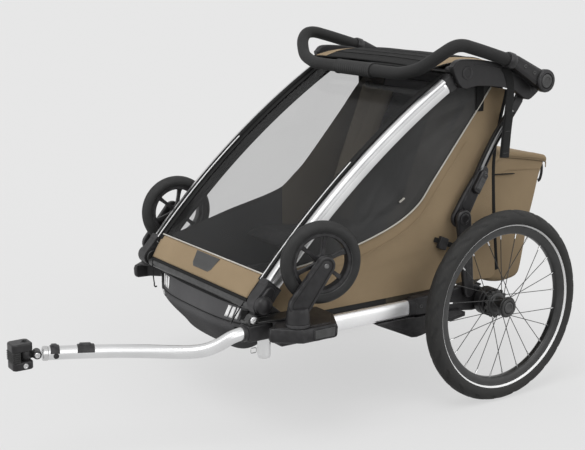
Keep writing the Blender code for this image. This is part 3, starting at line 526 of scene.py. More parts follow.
studio = {
    "background": 0.791,
    "worldLight": 0.76,
    # name, level, softness in degrees, where it comes from
    "lamps": (("keyLight", 1.0, 30.0, (0.25, -0.4, 0.88)), ("sideLight", 0.7, 50.0, (0.88, 0.12, 0.42)),
        ("rearLight", 0.3, 50.0, (0.55, 0.8, 0.12)), ("frontLight", 0.9, 60.0, (-0.3, -0.92, 0.22))),
    "floorColour": 0.19,
    "floorGlow": 0.565,
}


def seenDirectly(tree):
    # 1 for rays that show a surface as it is, 0 for the light it would throw on the others
    rays = addNode(tree, "ShaderNodeLightPath")
    seen = maths(tree, "ADD", rays.outputs["Is Camera Ray"], rays.outputs["Is Glossy Ray"], True)
    return maths(tree, "ADD", seen, rays.outputs["Is Transmission Ray"], True)


def makeStudio():
    scene = bpy.context.scene
    scene.view_settings.view_transform = "Standard"
    world = bpy.data.worlds.new("studio")
    scene.world = world
    world.use_nodes = True
    tree = world.node_tree
    shader = tree.nodes["Background"]
    tree.links.new(blendColours(tree, seenDirectly(tree), grey(studio["worldLight"]),
        grey(studio["background"])), shader.inputs["Color"])
    for name, level, softness, place in studio["lamps"]:
        lamp = bpy.data.lights.new(name, "SUN")
        lamp.energy = level
        lamp.angle = radians(softness)
        holder = bpy.data.objects.new(name, lamp)
        holder.rotation_mode = "QUATERNION"
        holder.rotation_quaternion = Vector(place).to_track_quat("Z", "Y")
        scene.collection.objects.link(holder)
    shape = bmesh.new()
    skin(shape, [[(-60, -60, 0), (60, -60, 0)], [(-60, 60, 0), (60, 60, 0)]])
    material = bpy.data.materials.new("paleFloor")
    material.use_nodes = True
    tree = material.node_tree
    shader = tree.nodes["Principled BSDF"]
    level = studio["floorColour"]
    tree.links.new(blendColours(tree, objectNoise(tree, 3.0, 3.0), grey(level * 0.998),
        grey(level * 1.002)), shader.inputs["Base Color"])
    shader.inputs["Roughness"].default_value = 1.0
    shader.inputs["Specular IOR Level"].default_value = 0.0
    shader.inputs["Emission Color"].default_value = (1.0, 1.0, 1.0, 1.0)
    tree.links.new(maths(tree, "MULTIPLY", seenDirectly(tree), studio["floorGlow"]),
        shader.inputs["Emission Strength"])
    addPiece("floor", shape, material, None, keepNormals=True)


makeStudio()


# Chassis: rails, front corner blocks, rear blocks, springs

chassis = {
    "railHeight": 0.262,
    "railPlane": 0.272,
    "railFront": -0.506,
    "railBack": -0.229,
    "blockFace": 0.394,
    "blockLow": 0.272,
    "blockTop": 0.306,
    "foldAxis": (-0.685, 0.346),
}


def makeRail(side, sign):
    x, z = sign * chassis["railPlane"], chassis["railHeight"]
    start, end = chassis["railFront"] + 0.0004, chassis["railBack"] - 0.0004
    path = [(x, start + (end - start) * i / 8, z) for i in range(9)]
    # the rails take the paler aluminium, which is a painted reflection
    addPiece("rail" + side, sweep(path, softBox(0.012, 0.021, 36), (1, 0, 0)), paintedReflectionMetal, "chassis",
        replaces=["rail_" + side])


def slab(name, outline, low, high, material, body, bevel, replaces=(), axis="X", steps=3):
    return addPiece(name, prism(outline, low, high, axis), material, body, bevel, steps, replaces=replaces)


def screw(name, spot, direction, radius, body, material=None, depth=0.002):
    # a low round screw head with a hexagonal socket
    hole = radius * 0.42
    profile = [(0.0, 0.0), (radius, 0.0), (radius, depth * 0.6), (radius * 0.85, depth),
        (hole * 1.15, depth), (hole, depth * 0.9), (hole * 0.9, depth * 0.25), (0.0, depth * 0.25)]
    return addPiece(name, lathe(profile, 24, spot, direction), material or brightSteel, body)


def makeFrontBlock(side, sign):
    face, low, top = chassis["blockFace"], chassis["blockLow"], chassis["blockTop"]
    plan = [(0.2515, -0.64), (0.305, -0.64), (0.329, -0.664), (0.333, -0.698), (0.345, -0.7),
        (face, -0.642), (face, -0.546), (0.322, -0.506), (0.2515, -0.506)]
    levels = ((low, 0.006), (low + 0.006, 0.001), (top - 0.009, 0.0), (top, 0.0035))
    middle = Vector((0.325, -0.592))
    rows = []
    for z, pull in levels:
        row = []
        for x, y in plan:
            away = Vector((x, y)) - middle
            spot = middle + away * (1 - pull / away.length)
            row.append((sign * spot.x, spot.y, z))
        rows.append(row)
    addPiece("frontBlock" + side, closedSkin(rows), blackPlastic, "chassis", 0.0028, 4,
        replaces=["front_block_" + side])
    slab("blockCore" + side, [(-0.64, 0.2392), (-0.506, 0.2392), (-0.506, 0.29), (-0.64, 0.29)],
        sign * 0.2521, sign * 0.3, blackPlastic, "chassis", 0.005)
    deck = [(0.288, -0.628), (0.318, -0.672), (0.347, -0.688), (0.381, -0.64), (0.381, -0.556),
        (0.324, -0.518), (0.288, -0.52)]
    slab("blockDeck" + side, [(sign * x, y) for x, y in deck], top - 0.002, top + 0.0014, blackPlastic,
        "chassis", 0.0011, axis="Z")
    lug = belt([(*chassis["foldAxis"], 0.018), (-0.63, 0.3, 0.012), (-0.595, 0.28, 0.012)])
    slab("blockLug" + side, lug, sign * 0.2515, sign * 0.2577, blackPaint, "chassis", 0.0012)
    addPiece("foldPin" + side, rod((sign * 0.252, *chassis["foldAxis"]),
        (sign * 0.304, *chassis["foldAxis"]), 0.008, 24, bevel=0.001), blackPaint, "chassis")
    panel = [(-0.6098, 0.2782), (-0.5542, 0.2782), (-0.5542, 0.2998), (-0.6098, 0.2998)]
    slab("casterRelease" + side, panel, sign * (face - 0.006), sign * (face + 0.0009), greyPlastic,
        f"caster_release_{side}_body", 0.0016, replaces=["caster_release_" + side])
    frameLine = smoothLine([(sign * (face + 0.0002), y, z) for y, z in ((-0.612, 0.2765), (-0.582, 0.276),
        (-0.552, 0.2765), (-0.5515, 0.289), (-0.552, 0.3015), (-0.582, 0.302), (-0.612, 0.3015),
        (-0.6125, 0.289))], 4, closed=True)
    addPiece("releaseRim" + side, sweep(frameLine, ring((0, 0), 0.0009, 8), closed=True), blackPlastic,
        "chassis")
    for i, (y, z) in enumerate(((-0.523, 0.262), (-0.628, 0.262))):
        screw(f"blockScrew{side}{i}", (sign * 0.3, y, z), (sign, 0, 0), 0.005, "chassis", greyPlastic)


def makeRearBlock(side, sign):
    outline = [(-0.229, 0.238), (-0.18, 0.2365), (-0.12, 0.235), (-0.03, 0.222), (0.03, 0.224),
        (0.036, 0.262), (-0.02, 0.292), (-0.055, 0.297), (-0.12, 0.29), (-0.229, 0.286)]
    slab("rearBlock" + side, outline, sign * 0.252, sign * 0.28, blackPlastic, "chassis", 0.005,
        ["rear_block_" + side], steps=4)
    profile = [(0.0, -0.028), (0.023, -0.028), (0.028, -0.022), (0.028, 0.004), (0.0335, 0.0075),
        (0.037, 0.011), (0.037, 0.03), (0.0355, 0.0315), (0.0355, 0.0345), (0.037, 0.036), (0.037, 0.042),
        (0.035, 0.0445), (0.0, 0.0445)]
    addPiece("axleHousing" + side, lathe(profile, 48, (sign * 0.28, 0.0, axleHeight), (sign, 0, 0)),
        blackPlastic, "chassis", 0.0008, 2)
    x, z = sign * chassis["railPlane"], chassis["railHeight"]
    addPiece("railCollar" + side, sweep([(x, -0.246, z), (x, -0.222, z)], softBox(0.0145, 0.0235, 32),
        (1, 0, 0)), blackPlastic, "chassis", 0.0015)
    for i, y in enumerate((-0.205, -0.15)):
        screw(f"rearScrew{side}{i}", (sign * 0.28, y, 0.262), (sign, 0, 0), 0.0055, "chassis", greyPlastic)
    # mounting plate of the leaf spring's clamp, with its guide
    slab("springClamp" + side, [(-0.15, 0.214), (-0.075, 0.222), (-0.075, 0.236), (-0.15, 0.237)],
        sign * 0.253, sign * 0.2895, blackPlastic, "chassis", 0.003)


def makeLeafSpring(side, sign):
    top = [(-0.345, 0.2402), (-0.229, 0.2402), (-0.229, 0.2374), (-0.12, 0.2344), (-0.06, 0.2255)]
    low = [(-0.06, 0.214), (-0.12, 0.206), (-0.205, 0.187), (-0.222, 0.185), (-0.238, 0.187),
        (-0.29, 0.211), (-0.345, 0.236)]
    slab("leafSpring" + side, top + low, sign * 0.256, sign * 0.286, blackPlastic, "chassis", 0.0025,
        ["leaf_spring_" + side])
    rib = [(-0.33, 0.2372), (-0.232, 0.192), (-0.206, 0.192), (-0.13, 0.2095), (-0.13, 0.218),
        (-0.205, 0.2015), (-0.226, 0.2015)]
    slab("springRib" + side, rib, sign * 0.2855, sign * 0.2872, blackPlastic, "chassis", 0.0008)


def makeCrossTubes():
    addPiece("axleBeam", rod((-0.2516, 0, axleHeight), (0.2516, 0, axleHeight), 0.016, 40, bevel=0.001),
        blackPaint, "chassis", replaces=["axle_beam"])
    addPiece("frontCrossTube", rod((-0.2511, -0.69, 0.335), (0.2511, -0.69, 0.335), 0.011, 32, bevel=0.001),
        blackPaint, "chassis", replaces=["front_cross_tube"])


def makeHitchBracket():
    plan = [(0.262, -0.728), (0.302, -0.728), (0.302, -0.69), (0.312, -0.65), (0.312, -0.6), (0.262, -0.6)]
    slab("hitchBracket", plan, 0.3064, 0.3125, blackPaint, "chassis", 0.0018, ["hitch_bracket"], "Z")
    ear = belt([(-0.717, 0.319, 0.0125), (-0.728, 0.3075, 0), (-0.7, 0.3075, 0)])
    slab("hitchEar", ear, 0.284, 0.302, blackPaint, "chassis", 0.0022)
    rib = belt([(-0.717, 0.3125, 0.006), (-0.64, 0.3095, 0.003)])
    slab("hitchRib", rib, 0.27, 0.279, blackPaint, "chassis", 0.0018)
    pin = lathe([(0.0, -0.022), (0.004, -0.022), (0.004, -0.001), (0.0086, -0.0005), (0.009, 0.0012),
        (0.008, 0.003), (0.0034, 0.0036), (0.0028, 0.0016), (0.0, 0.0016)], 28, (0.303, -0.717, 0.319))
    addPiece("hitchPin", pin, brightSteel, "hitch_pin_body", replaces=["hitch_pin"])


for side, sign in sides:
    makeRail(side, sign)
    makeFrontBlock(side, sign)
    makeRearBlock(side, sign)
    makeLeafSpring(side, sign)
makeCrossTubes()
makeHitchBracket()
print("chassis made")


# Upper frame: bowed tubes, knuckles, corner brackets

upperFrame = {
    "foot": (-0.66, 0.3755),
    "middle": (-0.5245, 0.519),
    "head": (-0.1205, 0.8275),
    "halfDepth": 0.0195,
    "halfWidth": 0.014,
    "rings": 64,
}


def arcThrough(first, middle, last, count):
    (ax, ay), (bx, by), (cx, cy) = first, middle, last
    d = 2 * (ax * (by - cy) + bx * (cy - ay) + cx * (ay - by))
    sa, sb, sc = ax * ax + ay * ay, bx * bx + by * by, cx * cx + cy * cy
    ux = (sa * (by - cy) + sb * (cy - ay) + sc * (ay - by)) / d
    uy = (sa * (cx - bx) + sb * (ax - cx) + sc * (bx - ax)) / d
    radius = hypot(ax - ux, ay - uy)
    start, end = atan2(ay - uy, ax - ux), atan2(cy - uy, cx - ux)
    if abs(end - start) > pi:
        end -= copysign(2 * pi, end - start)
    turns = [start + (end - start) * i / (count - 1) for i in range(count)]
    return [(ux + radius * cos(t), uy + radius * sin(t)) for t in turns]


tubeLine = arcThrough(upperFrame["foot"], upperFrame["middle"], upperFrame["head"], upperFrame["rings"])


def besideTube(share, offset):
    # a point beside the tube's centre line; share runs from foot to head, positive offsets are in front
    spot = min(max(share, 0.0), 1.0) * (len(tubeLine) - 1)
    i = min(int(spot), len(tubeLine) - 2)
    low, high = Vector(tubeLine[i]), Vector(tubeLine[i + 1])
    heading = (high - low).normalized()
    point = low.lerp(high, spot - i) + Vector((-heading.y, heading.x)) * offset
    return (point.x, point.y)


def makeFrontTube(side, sign):
    depth, width = upperFrame["halfDepth"], upperFrame["halfWidth"]
    corners = [(0.99, -0.62), (0.96, -0.1), (0.92, 0.14), (0.86, 0.3), (0.8, 0.38), (0.8, 0.44),
        (0.96, 0.5), (1.0, 0.58), (1.0, 0.66), (0.92, 0.86), (0.68, 0.97), (0.35, 1.0), (-0.55, 1.0),
        (-0.85, 0.93), (-1.0, 0.72), (-1.0, -0.72), (-0.85, -0.93), (-0.55, -1.0), (0.55, -1.0),
        (0.87, -0.93)]
    section = [(sign * a * width, -b * depth) for a, b in corners]
    path = [(sign * chassis["railPlane"], y, z) for y, z in tubeLine]
    addPiece("frontTube" + side, sweep(path, section, (1, 0, 0)), silver, "upper_frame", 0.0009, 2,
        sharp=30, replaces=["front_tube_" + side])
    # the strip laid in the groove carries the painted groove shade
    groove = [(0.955, -0.02), (0.93, 0.14), (0.87, 0.3), (0.81, 0.38), (0.81, 0.43), (0.78, 0.43),
        (0.78, 0.3), (0.88, -0.02)]
    addPiece("tubeGroove" + side, sweep(path[2:-3], [(sign * a * width, -b * depth) for a, b in groove],
        (1, 0, 0)), paintedGrooveShadeMetal, "upper_frame", sharp=30)


def makeKnuckle(side, sign):
    start = Vector(tubeLine[0])
    heading = (Vector(tubeLine[1]) - start).normalized()
    seat = start - heading * 0.0004
    across = Vector((-heading.y, heading.x))
    lip = upperFrame["halfDepth"] + 0.0022
    axis = chassis["foldAxis"]
    body = belt([(*axis, 0.024), (*(seat + heading * 0.01 + across * lip * 0.9), 0.002),
        (*(seat + heading * 0.01 - across * lip * 0.9), 0.002)])
    slab("knuckle" + side, body, sign * 0.2585, sign * 0.29, blackPlastic, "upper_frame", 0.0048,
        ["knuckle_" + side], steps=4)
    disc = [(0.0, -0.004), (0.0225, -0.004),
        (0.0228, 0.0)] + [(0.0226 * cos(radians(a)), 0.002 + 0.0142 * sin(radians(a)))
        for a in range(0, 91, 9)]
    addPiece("knuckleDome" + side, lathe(disc, 56, (sign * 0.294, *axis), (sign, 0, 0)), blackPlastic,
        "upper_frame")
    band = belt([(*(seat + heading * 0.004 + across * lip), 0.0015),
        (*(seat + heading * 0.004 - across * lip), 0.0015),
        (*(seat + heading * 0.016 + across * lip), 0.0015),
        (*(seat + heading * 0.016 - across * lip), 0.0015)])
    slab("knuckleBand" + side, band, sign * 0.2565, sign * 0.2885, blackPlastic, "upper_frame", 0.0015)
    cheek = belt([(*axis, 0.0185), (*(Vector(axis) + heading * 0.034 + across * 0.004), 0.012)])
    slab("knuckleCheek" + side, cheek, sign * 0.286, sign * 0.2955, blackPlastic, "upper_frame", 0.0038,
        steps=4)


bracket = {
    "outline": [(-0.137, 0.8555), (-0.134, 0.8655), (-0.118, 0.878), (-0.08, 0.8785), (-0.03, 0.8735),
        (0.015, 0.8655), (0.05, 0.857), (0.095, 0.844), (0.125, 0.84), (0.15, 0.8385), (0.164, 0.828),
        (0.168, 0.812), (0.162, 0.793), (0.145, 0.7785), (0.126, 0.767), (0.113, 0.768), (0.098, 0.776),
        (0.06, 0.7975), (0.01, 0.806), (-0.055, 0.8115), (-0.106, 0.809)],
    "discSpot": (-0.092, 0.846),
}


def makeCornerBracket(side, sign):
    outline = [(p.x, p.y) for p in smoothLine([(*p, 0) for p in bracket["outline"]], 3, closed=True)]
    slab("cornerBracket" + side, outline, sign * 0.2802, sign * 0.2995, blackPlastic, "upper_frame", 0.0062,
        ["corner_bracket_" + side], steps=5)
    root = [(-0.1345, 0.851), (-0.13, 0.86), (-0.1, 0.866), (-0.02, 0.86), (0.046, 0.846), (0.04, 0.815),
        (-0.055, 0.813), (-0.104, 0.812)]
    slab("bracketRoot" + side, root, sign * 0.258, sign * 0.284, blackPlastic, "upper_frame", 0.006,
        steps=4)
    disc = [(0.0, 0.0), (0.0165, 0.0), (0.0165, 0.0018), (0.0152, 0.003), (0.0112, 0.003), (0.0104, 0.0022),
        (0.0, 0.0022)]
    addPiece("bracketDisc" + side, lathe(disc, 48, (sign * 0.2985, *bracket["discSpot"]), (sign, 0, 0)),
        blackPlastic, "upper_frame")
    ridge = smoothLine([(sign * 0.2995, y, z) for y, z in ((-0.068, 0.864), (-0.02, 0.8585), (0.04, 0.845),
        (0.085, 0.8285), (0.118, 0.808), (0.128, 0.787))], 6)
    addPiece("bracketRidge" + side, sweep(ridge, flatOval(0.0022, 0.0007), (sign, 0, 0)), blackPlastic,
        "upper_frame")
    addPiece("strutPin" + side, rod((sign * 0.2655, 0.125, 0.79), (sign * 0.285, 0.125, 0.79), 0.005, 20,
        bevel=0.0006), brightSteel, "upper_frame")
    reach = upperFrame["halfDepth"] + 0.0012
    wrap = [besideTube(k, away) for k, away in ((0.962, reach), (0.999, reach), (0.999, -reach),
        (0.962, -reach))]
    slab("tubeCollar" + side, wrap, sign * 0.257, sign * 0.2872, blackPlastic, "upper_frame", 0.0035,
        steps=4)


def makeRoofBar():
    addPiece("roofBar", rod((-0.2576, 0.02, 0.832), (0.2576, 0.02, 0.832), 0.011, 32, bevel=0.001),
        blackPaint, "upper_frame", replaces=["roof_bar"])


for side, sign in sides:
    makeFrontTube(side, sign)
    makeKnuckle(side, sign)
    makeCornerBracket(side, sign)
makeRoofBar()
print("upper frame made")


# Rear struts with their sliding latches

strut = {
    "top": (0.125, 0.79),
    "knee": (-0.08, 0.475),
    "foot": (-0.055, 0.28),
}


def makeStrut(side, sign):
    top, knee, foot = Vector(strut["top"]), Vector(strut["knee"]), Vector(strut["foot"])
    along = (top - knee).normalized()
    across = Vector((-along.y, along.x))
    upper, lower = f"strut_upper_{side}_body", f"strut_lower_{side}_body"

    def spot(a, b=0.0):
        return tuple(knee + along * a + across * b)

    bow = [(0.05, 0.002), (0.095, 0.006), (0.14, 0.01), (0.185, 0.012), (0.23, 0.011), (0.275, 0.007),
        (0.32, 0.002), (0.35, 0.0)]
    tube = smoothLine([(sign * 0.2725, *spot(a, b)) for a, b in bow], 5)
    channel = [(0.0028, -0.0125), (0.0062, -0.0125), (0.0062, -0.0098), (-0.0012, -0.0094),
        (-0.0012, 0.0094), (0.0062, 0.0098), (0.0062, 0.0125), (0.0028, 0.0125), (-0.0042, 0.011),
        (-0.0042, -0.011)]
    addPiece("strutChannel" + side, sweep(tube, [(sign * a, b) for a, b in channel], (1, 0, 0)),
        blackPlastic, upper, 0.0005, 2, sharp=30)
    slide = [(sign * 0.2758, p.y, p.z) for p in tube[4:-6]]
    addPiece("strutSlide" + side, sweep(slide, ring((0, 0), 0.005, 20), (1, 0, 0)), slideMetal, upper)
    slab("strutUpper" + side, belt([(*knee, 0.0255), (*spot(0.06, 0.003), 0.0215), (*spot(0.125), 0.0175)]),
        sign * 0.2662, sign * 0.2788, blackPlastic, upper, 0.0042, ["strut_upper_" + side], steps=4)
    slab("strutEnd" + side, belt([(*top, 0.013), (*spot(0.32), 0.0115)]), sign * 0.2665, sign * 0.2785,
        blackPlastic, upper, 0.003)
    slab("strutSleeve" + side, belt([(*spot(0.135), 0.015), (*spot(0.04), 0.0165)]), sign * 0.2775,
        sign * 0.2802, blackPlastic, upper, 0.0012)
    slab("strutLower" + side, belt([(*knee, 0.0235), (*foot, 0.015)]), sign * 0.2815, sign * 0.2955,
        blackPlastic, lower, 0.005, ["strut_lower_" + side], steps=4)
    slab("strutWeb" + side, belt([(*(knee.lerp(foot, 0.22)), 0.0105), (*(knee.lerp(foot, 0.8)), 0.0075)]),
        sign * 0.295, sign * 0.2963, blackPlastic, lower, 0.0006)
    cap = [(0.0, 0.0), (0.015, 0.0), (0.015, 0.0016), (0.0136, 0.0028), (0.0095, 0.0028), (0.0088, 0.0018),
        (0.0, 0.0018)]
    addPiece("kneeCap" + side, lathe(cap, 40, (sign * 0.2945, *knee), (sign, 0, 0)), blackPlastic, lower)
    latchBody = f"strut_latch_{side}_body"
    latch = [spot(0.105 + a, b) for a, b in ((-0.03, -0.012), (0.024, -0.012), (0.031, -0.004),
        (0.031, 0.01), (0.024, 0.013), (-0.022, 0.013), (-0.03, 0.006))]
    slab("strutLatch" + side, latch, sign * 0.2803, sign * 0.2905, blackPlastic, latchBody, 0.0028,
        ["strut_latch_" + side])
    pad = [spot(0.105 + a, b) for a, b in ((-0.021, -0.0075), (0.012, -0.0075), (0.012, 0.008),
        (-0.021, 0.008))]
    slab("latchPad" + side, pad, sign * 0.2895, sign * 0.2925, greyPlastic, latchBody, 0.0012)
    for i in range(4):
        a = 0.088 + 0.0075 * i
        rib = [(sign * 0.2926, *spot(a, -0.006)), (sign * 0.2926, *spot(a, 0.0065))]
        addPiece(f"latchRib{side}{i}", sweep(rib, ring((0, 0), 0.0009, 8), (sign, 0, 0)), greyPlastic,
            latchBody)
    screw("latchScrew" + side, (sign * 0.29, *spot(0.128, 0.0)), (sign, 0, 0), 0.0048, latchBody,
        greyPlastic)


for side, sign in sides:
    makeStrut(side, sign)
print("struts made")


# Handlebar: foam-covered loop, middle grip, clamps and pivot buttons

handlebar = {
    "half": [(0.317, 0.0285, 0.8728), (0.317, -0.04, 0.893), (0.317, -0.09, 0.907), (0.317, -0.125, 0.915),
        (0.314, -0.152, 0.912), (0.3, -0.174, 0.896), (0.276, -0.19, 0.876), (0.248, -0.202, 0.858),
        (0.215, -0.208, 0.848), (0.18, -0.211, 0.842), (0.13, -0.211, 0.841), (0.08, -0.211, 0.841),
        (0.0, -0.211, 0.841)],
    "radius": 0.016,
    "gripHalf": 0.077,
    "axis": (0.144, 0.816),
}


def makeHandlebar():
    half = handlebar["half"]
    path = smoothLine(half + [(-x, y, z) for x, y, z in half[-2::-1]], 8)
    section = ring((0, 0), handlebar["radius"], 28)
    addPiece("handlebarFoam", sweep(path, section), foamSkin, "handlebar_loop", replaces=["handlebar"])
    reach = handlebar["gripHalf"]
    y, z = half[-1][1:]
    profile = [(0.0163, -reach), (0.0186, -reach), (0.0196, -reach + 0.0012), (0.0196, -reach + 0.006),
        (0.0188, -reach + 0.0072), (0.0184, -reach + 0.0085)]
    ribs = 15
    for i in range(ribs):
        x = -reach + 0.012 + (2 * reach - 0.024) * i / (ribs - 1)
        profile += [(0.0184, x - 0.0022), (0.0189, x - 0.0014), (0.0189, x + 0.0014), (0.0184, x + 0.0022)]
    profile += [(r, -x) for r, x in profile[5::-1]]
    addPiece("handlebarGrip", lathe(profile, 48, (0.0, y, z), closed=True), gripRubber, "handlebar_loop",
        replaces=["handlebar_grip"])
    for side, sign in sides:
        axis = handlebar["axis"]
        arm = belt([(*axis, 0.0225), (0.046, 0.8676, 0.017)])
        slab("handlebarClamp" + side, arm, sign * 0.3012, sign * 0.3328, blackPlastic, "handlebar_loop",
            0.0085, ["handlebar_clamp_" + side], steps=6)
        collar = [(0.0166, -0.012), (0.0192, -0.012), (0.0205, -0.009), (0.0205, 0.006), (0.0192, 0.01),
            (0.0166, 0.01)]
        heading = Vector((0, half[1][1] - half[0][1], half[1][2] - half[0][2])).normalized()
        addPiece("barCollar" + side, lathe(collar, 40, (sign * 0.317, 0.03, 0.8724), heading, closed=True),
            blackPlastic, "handlebar_loop")
        cap = [(0.0, 0.0), (0.0235, 0.0), (0.024, 0.008), (0.0275, 0.01), (0.0292, 0.0125), (0.0296, 0.024),
            (0.0288, 0.0272), (0.0268, 0.029), (0.0205, 0.0293), (0.0194, 0.0283), (0.019, 0.02),
            (0.0, 0.02)]
        addPiece("clampCap" + side, lathe(cap, 56, (sign * 0.31, *axis), (sign, 0, 0)), blackPlastic,
            "handlebar_loop")
        button = [(0.0, 0.003), (0.0176, 0.003), (0.0178, 0.0044), (0.0166, 0.0056), (0.011, 0.006),
            (0.0102, 0.005), (0.0, 0.0052)]
        addPiece("handlebarButton" + side, lathe(button, 44, (sign * 0.3336, *axis), (sign, 0, 0)),
            greyPlastic, f"handlebar_button_{side}_body", replaces=["handlebar_button_" + side])
        for i, (y, z) in enumerate(((0.072, 0.8565), (0.104, 0.8385))):
            screw(f"clampScrew{side}{i}", (sign * 0.3322, y, z), (sign, 0, 0), 0.0052, "handlebar_loop",
                greyPlastic)


makeHandlebar()
print("handlebar made")


# Rear wheels

rearWheel = {
    "plane": 0.358,
    "radius": 0.25,
    "tyreHalf": 0.022,
    "rimInner": 0.1885,
    "steps": 240,
    "nickDepth": 0.0024,
    "spokes": 24,
    "spokeRadius": 0.001,
}


def makeTyre(side, sign):
    half, radius, steps = rearWheel["tyreHalf"], rearWheel["radius"], rearWheel["steps"]
    middle = radius - half
    centre = Vector((sign * rearWheel["plane"], 0.0, axleHeight))
    turns = [radians(-150 + 300 * j / 32) for j in range(33)]
    rows = []
    for i in range(steps):
        turn = 2 * pi * i / steps
        row = []
        for j, a in enumerate(turns):
            lean = abs(degrees(a))
            depth = 0.0
            if 26 < lean < 66 and (i + int(lean / 9)) % 10 < 2:
                depth = rearWheel["nickDepth"]
            elif lean < 3 or 18 < lean < 23:
                depth = 0.0006 if lean < 3 else 0.0009
            elif lean < 17 and (i + (4 if a > 0 else 0)) % 8 < 1:
                depth = rearWheel["nickDepth"] * 0.8
            out = middle + (half - depth) * cos(a)
            row.append(centre + Vector((sign * 0.0215 * sin(a) * (1 - depth / half), out * cos(turn),
                out * sin(turn))))
        rows.append(row)
    shape = bmesh.new()
    skin(shape, rows, wrap=True, loop=True)
    body = f"rear_wheel_{side}"
    addPiece("tyre" + side, shape, tyreRubber, body, sharp=26, replaces=["tyre_" + side])
    band = []
    for out in (0.2105, 0.2116, 0.2134, 0.2145):
        band.append((out, 0.0215 * sqrt(max(0.0, 1 - ((out - middle) / half) ** 2)) + 0.0005))
    band += [(out, along - 0.0012) for out, along in band[::-1]]
    for face, turned in (("outer", sign), ("inner", -sign)):
        addPiece("tyreBand" + side + face,
            lathe([(out, turned * along) for out, along in band], 120, centre, closed=True),
            reflector, body)


def makeRearWheel(side, sign):
    body = f"rear_wheel_{side}"
    centre = Vector((sign * rearWheel["plane"], 0.0, axleHeight))
    inner = rearWheel["rimInner"]
    half = [(inner, 0.0), (inner, 0.0045), (inner + 0.0016, 0.0085), (inner + 0.0055, 0.0112),
        (0.204, 0.0122), (0.2086, 0.0134), (0.2092, 0.0128), (0.2086, 0.0116), (0.204, 0.01), (0.203, 0.0)]
    rim = half + [(out, -along) for out, along in half[-2:0:-1]]
    addPiece("rim" + side, lathe(rim, 144, centre, closed=True), blackPaint, body, sharp=40,
        replaces=["wheel_" + side])
    hub = [(0.0, -0.0315), (0.0175, -0.0315), (0.0188, -0.0305), (0.028, -0.0265), (0.029, -0.0255),
        (0.029, -0.019), (0.0275, -0.0178), (0.0215, -0.0165), (0.0198, -0.014), (0.019, -0.006),
        (0.019, 0.006), (0.0198, 0.0128), (0.0215, 0.015), (0.0262, 0.0165), (0.0272, 0.0175),
        (0.0272, 0.0198), (0.0262, 0.0206), (0.0244, 0.0208), (0.024, 0.0216), (0.0238, 0.0248),
        (0.0228, 0.026), (0.0172, 0.0262), (0.0162, 0.0254), (0.016, 0.0176), (0.0, 0.0176)]
    addPiece("hub" + side, lathe([(out, sign * along) for out, along in hub], 64, centre), blackPaint, body,
        sharp=30)
    gear, teeth = [], 14
    for i in range(teeth):
        for out, share in ((0.0332, 0.0), (0.0372, 0.16), (0.038, 0.25), (0.038, 0.42), (0.0372, 0.51),
                (0.0332, 0.7)):
            turn = 2 * pi * (i + share) / teeth
            gear.append((out * cos(turn), centre.z + out * sin(turn)))
    addPiece("brakeRing" + side, prism(gear, centre.x - sign * 0.0265, centre.x - sign * 0.0205),
        greyPlastic, body, 0.0007, 2)
    spokes, nipples, heads = bmesh.new(), bmesh.new(), bmesh.new()
    head = [(0.0, -0.0006), (0.0019, -0.0004), (0.0019, 0.0004), (0.001, 0.0008), (0.0, 0.0009)]
    for k in range(rearWheel["spokes"]):
        group = k % 4
        reach = 0.018 if group % 2 else -0.0222
        lean = 1 if group < 2 else -1
        rimTurn = 2 * pi * k / rearWheel["spokes"] + radians(4.0)
        hubTurn = rimTurn + lean * radians(62.0)
        flange = Vector((0.0, 0.0222 * cos(hubTurn), 0.0222 * sin(hubTurn)))
        start = centre + flange + Vector((sign * reach, 0, 0))
        end = centre + Vector((sign * reach * 0.08, (inner + 0.003) * cos(rimTurn),
            (inner + 0.003) * sin(rimTurn)))
        rod(start, end, rearWheel["spokeRadius"], 8, spokes)
        heading = (end - start).normalized()
        rod(end - heading * 0.016, end, 0.0021, 8, nipples, 0.0004)
        outside = sign if group % 2 else -sign
        along = 0.0206 if group % 2 else 0.0262
        lathe(head, 8, centre + flange + Vector((outside * along, 0, 0)), (outside, 0, 0), heads)
    addPiece("spokes" + side, spokes, darkSteel, body)
    addPiece("spokeNipples" + side, nipples, brightSteel, body)
    addPiece("spokeHeads" + side, heads, darkSteel, body)
    button = [(0.0, 0.0215), (0.0148, 0.0215), (0.0149, 0.0256), (0.0139, 0.0268), (0.01, 0.0271),
        (0.0092, 0.0264), (0.0, 0.0258)]
    addPiece("wheelButton" + side, lathe([(out, sign * along) for out, along in button], 48, centre),
        greyPlastic, f"wheel_button_{side}_body", replaces=["wheel_button_" + side])


for side, sign in sides:
    makeTyre(side, sign)
    makeRearWheel(side, sign)
print("rear wheels made")


# Stowed stroller casters: single-sided fork, wheel and tyre

caster = {
    "post": (0.3605, -0.6344),
    "turn": {"left": -14.0, "right": -8.0},
    "trail": 0.064,
    "inset": 0.0245,
    "rise": 0.1386,
    "radius": 0.0975,
}


def lozenge(a, b, radiusA, radiusB, count=14):
    # outline round two discs, always with the same number of points
    a, b = Vector(a), Vector(b)
    along = b - a
    base, lean = atan2(along.y, along.x), acos((radiusA - radiusB) / along.length)
    points = []
    for i in range(count + 1):
        turn = base + lean + (2 * pi - 2 * lean) * i / count
        points.append((a.x + radiusA * cos(turn), a.y + radiusA * sin(turn)))
    for i in range(count + 1):
        turn = base - lean + 2 * lean * i / count
        points.append((b.x + radiusB * cos(turn), b.y + radiusB * sin(turn)))
    return points


def dishedPlate(a, b, radiusA, radiusB, levels):
    # a plate between two discs; each level gives (x, how far the outline is drawn in)
    return closedSkin([[(x, *p) for p in lozenge(a, b, radiusA - pull, radiusB - pull)]
        for x, pull in levels])


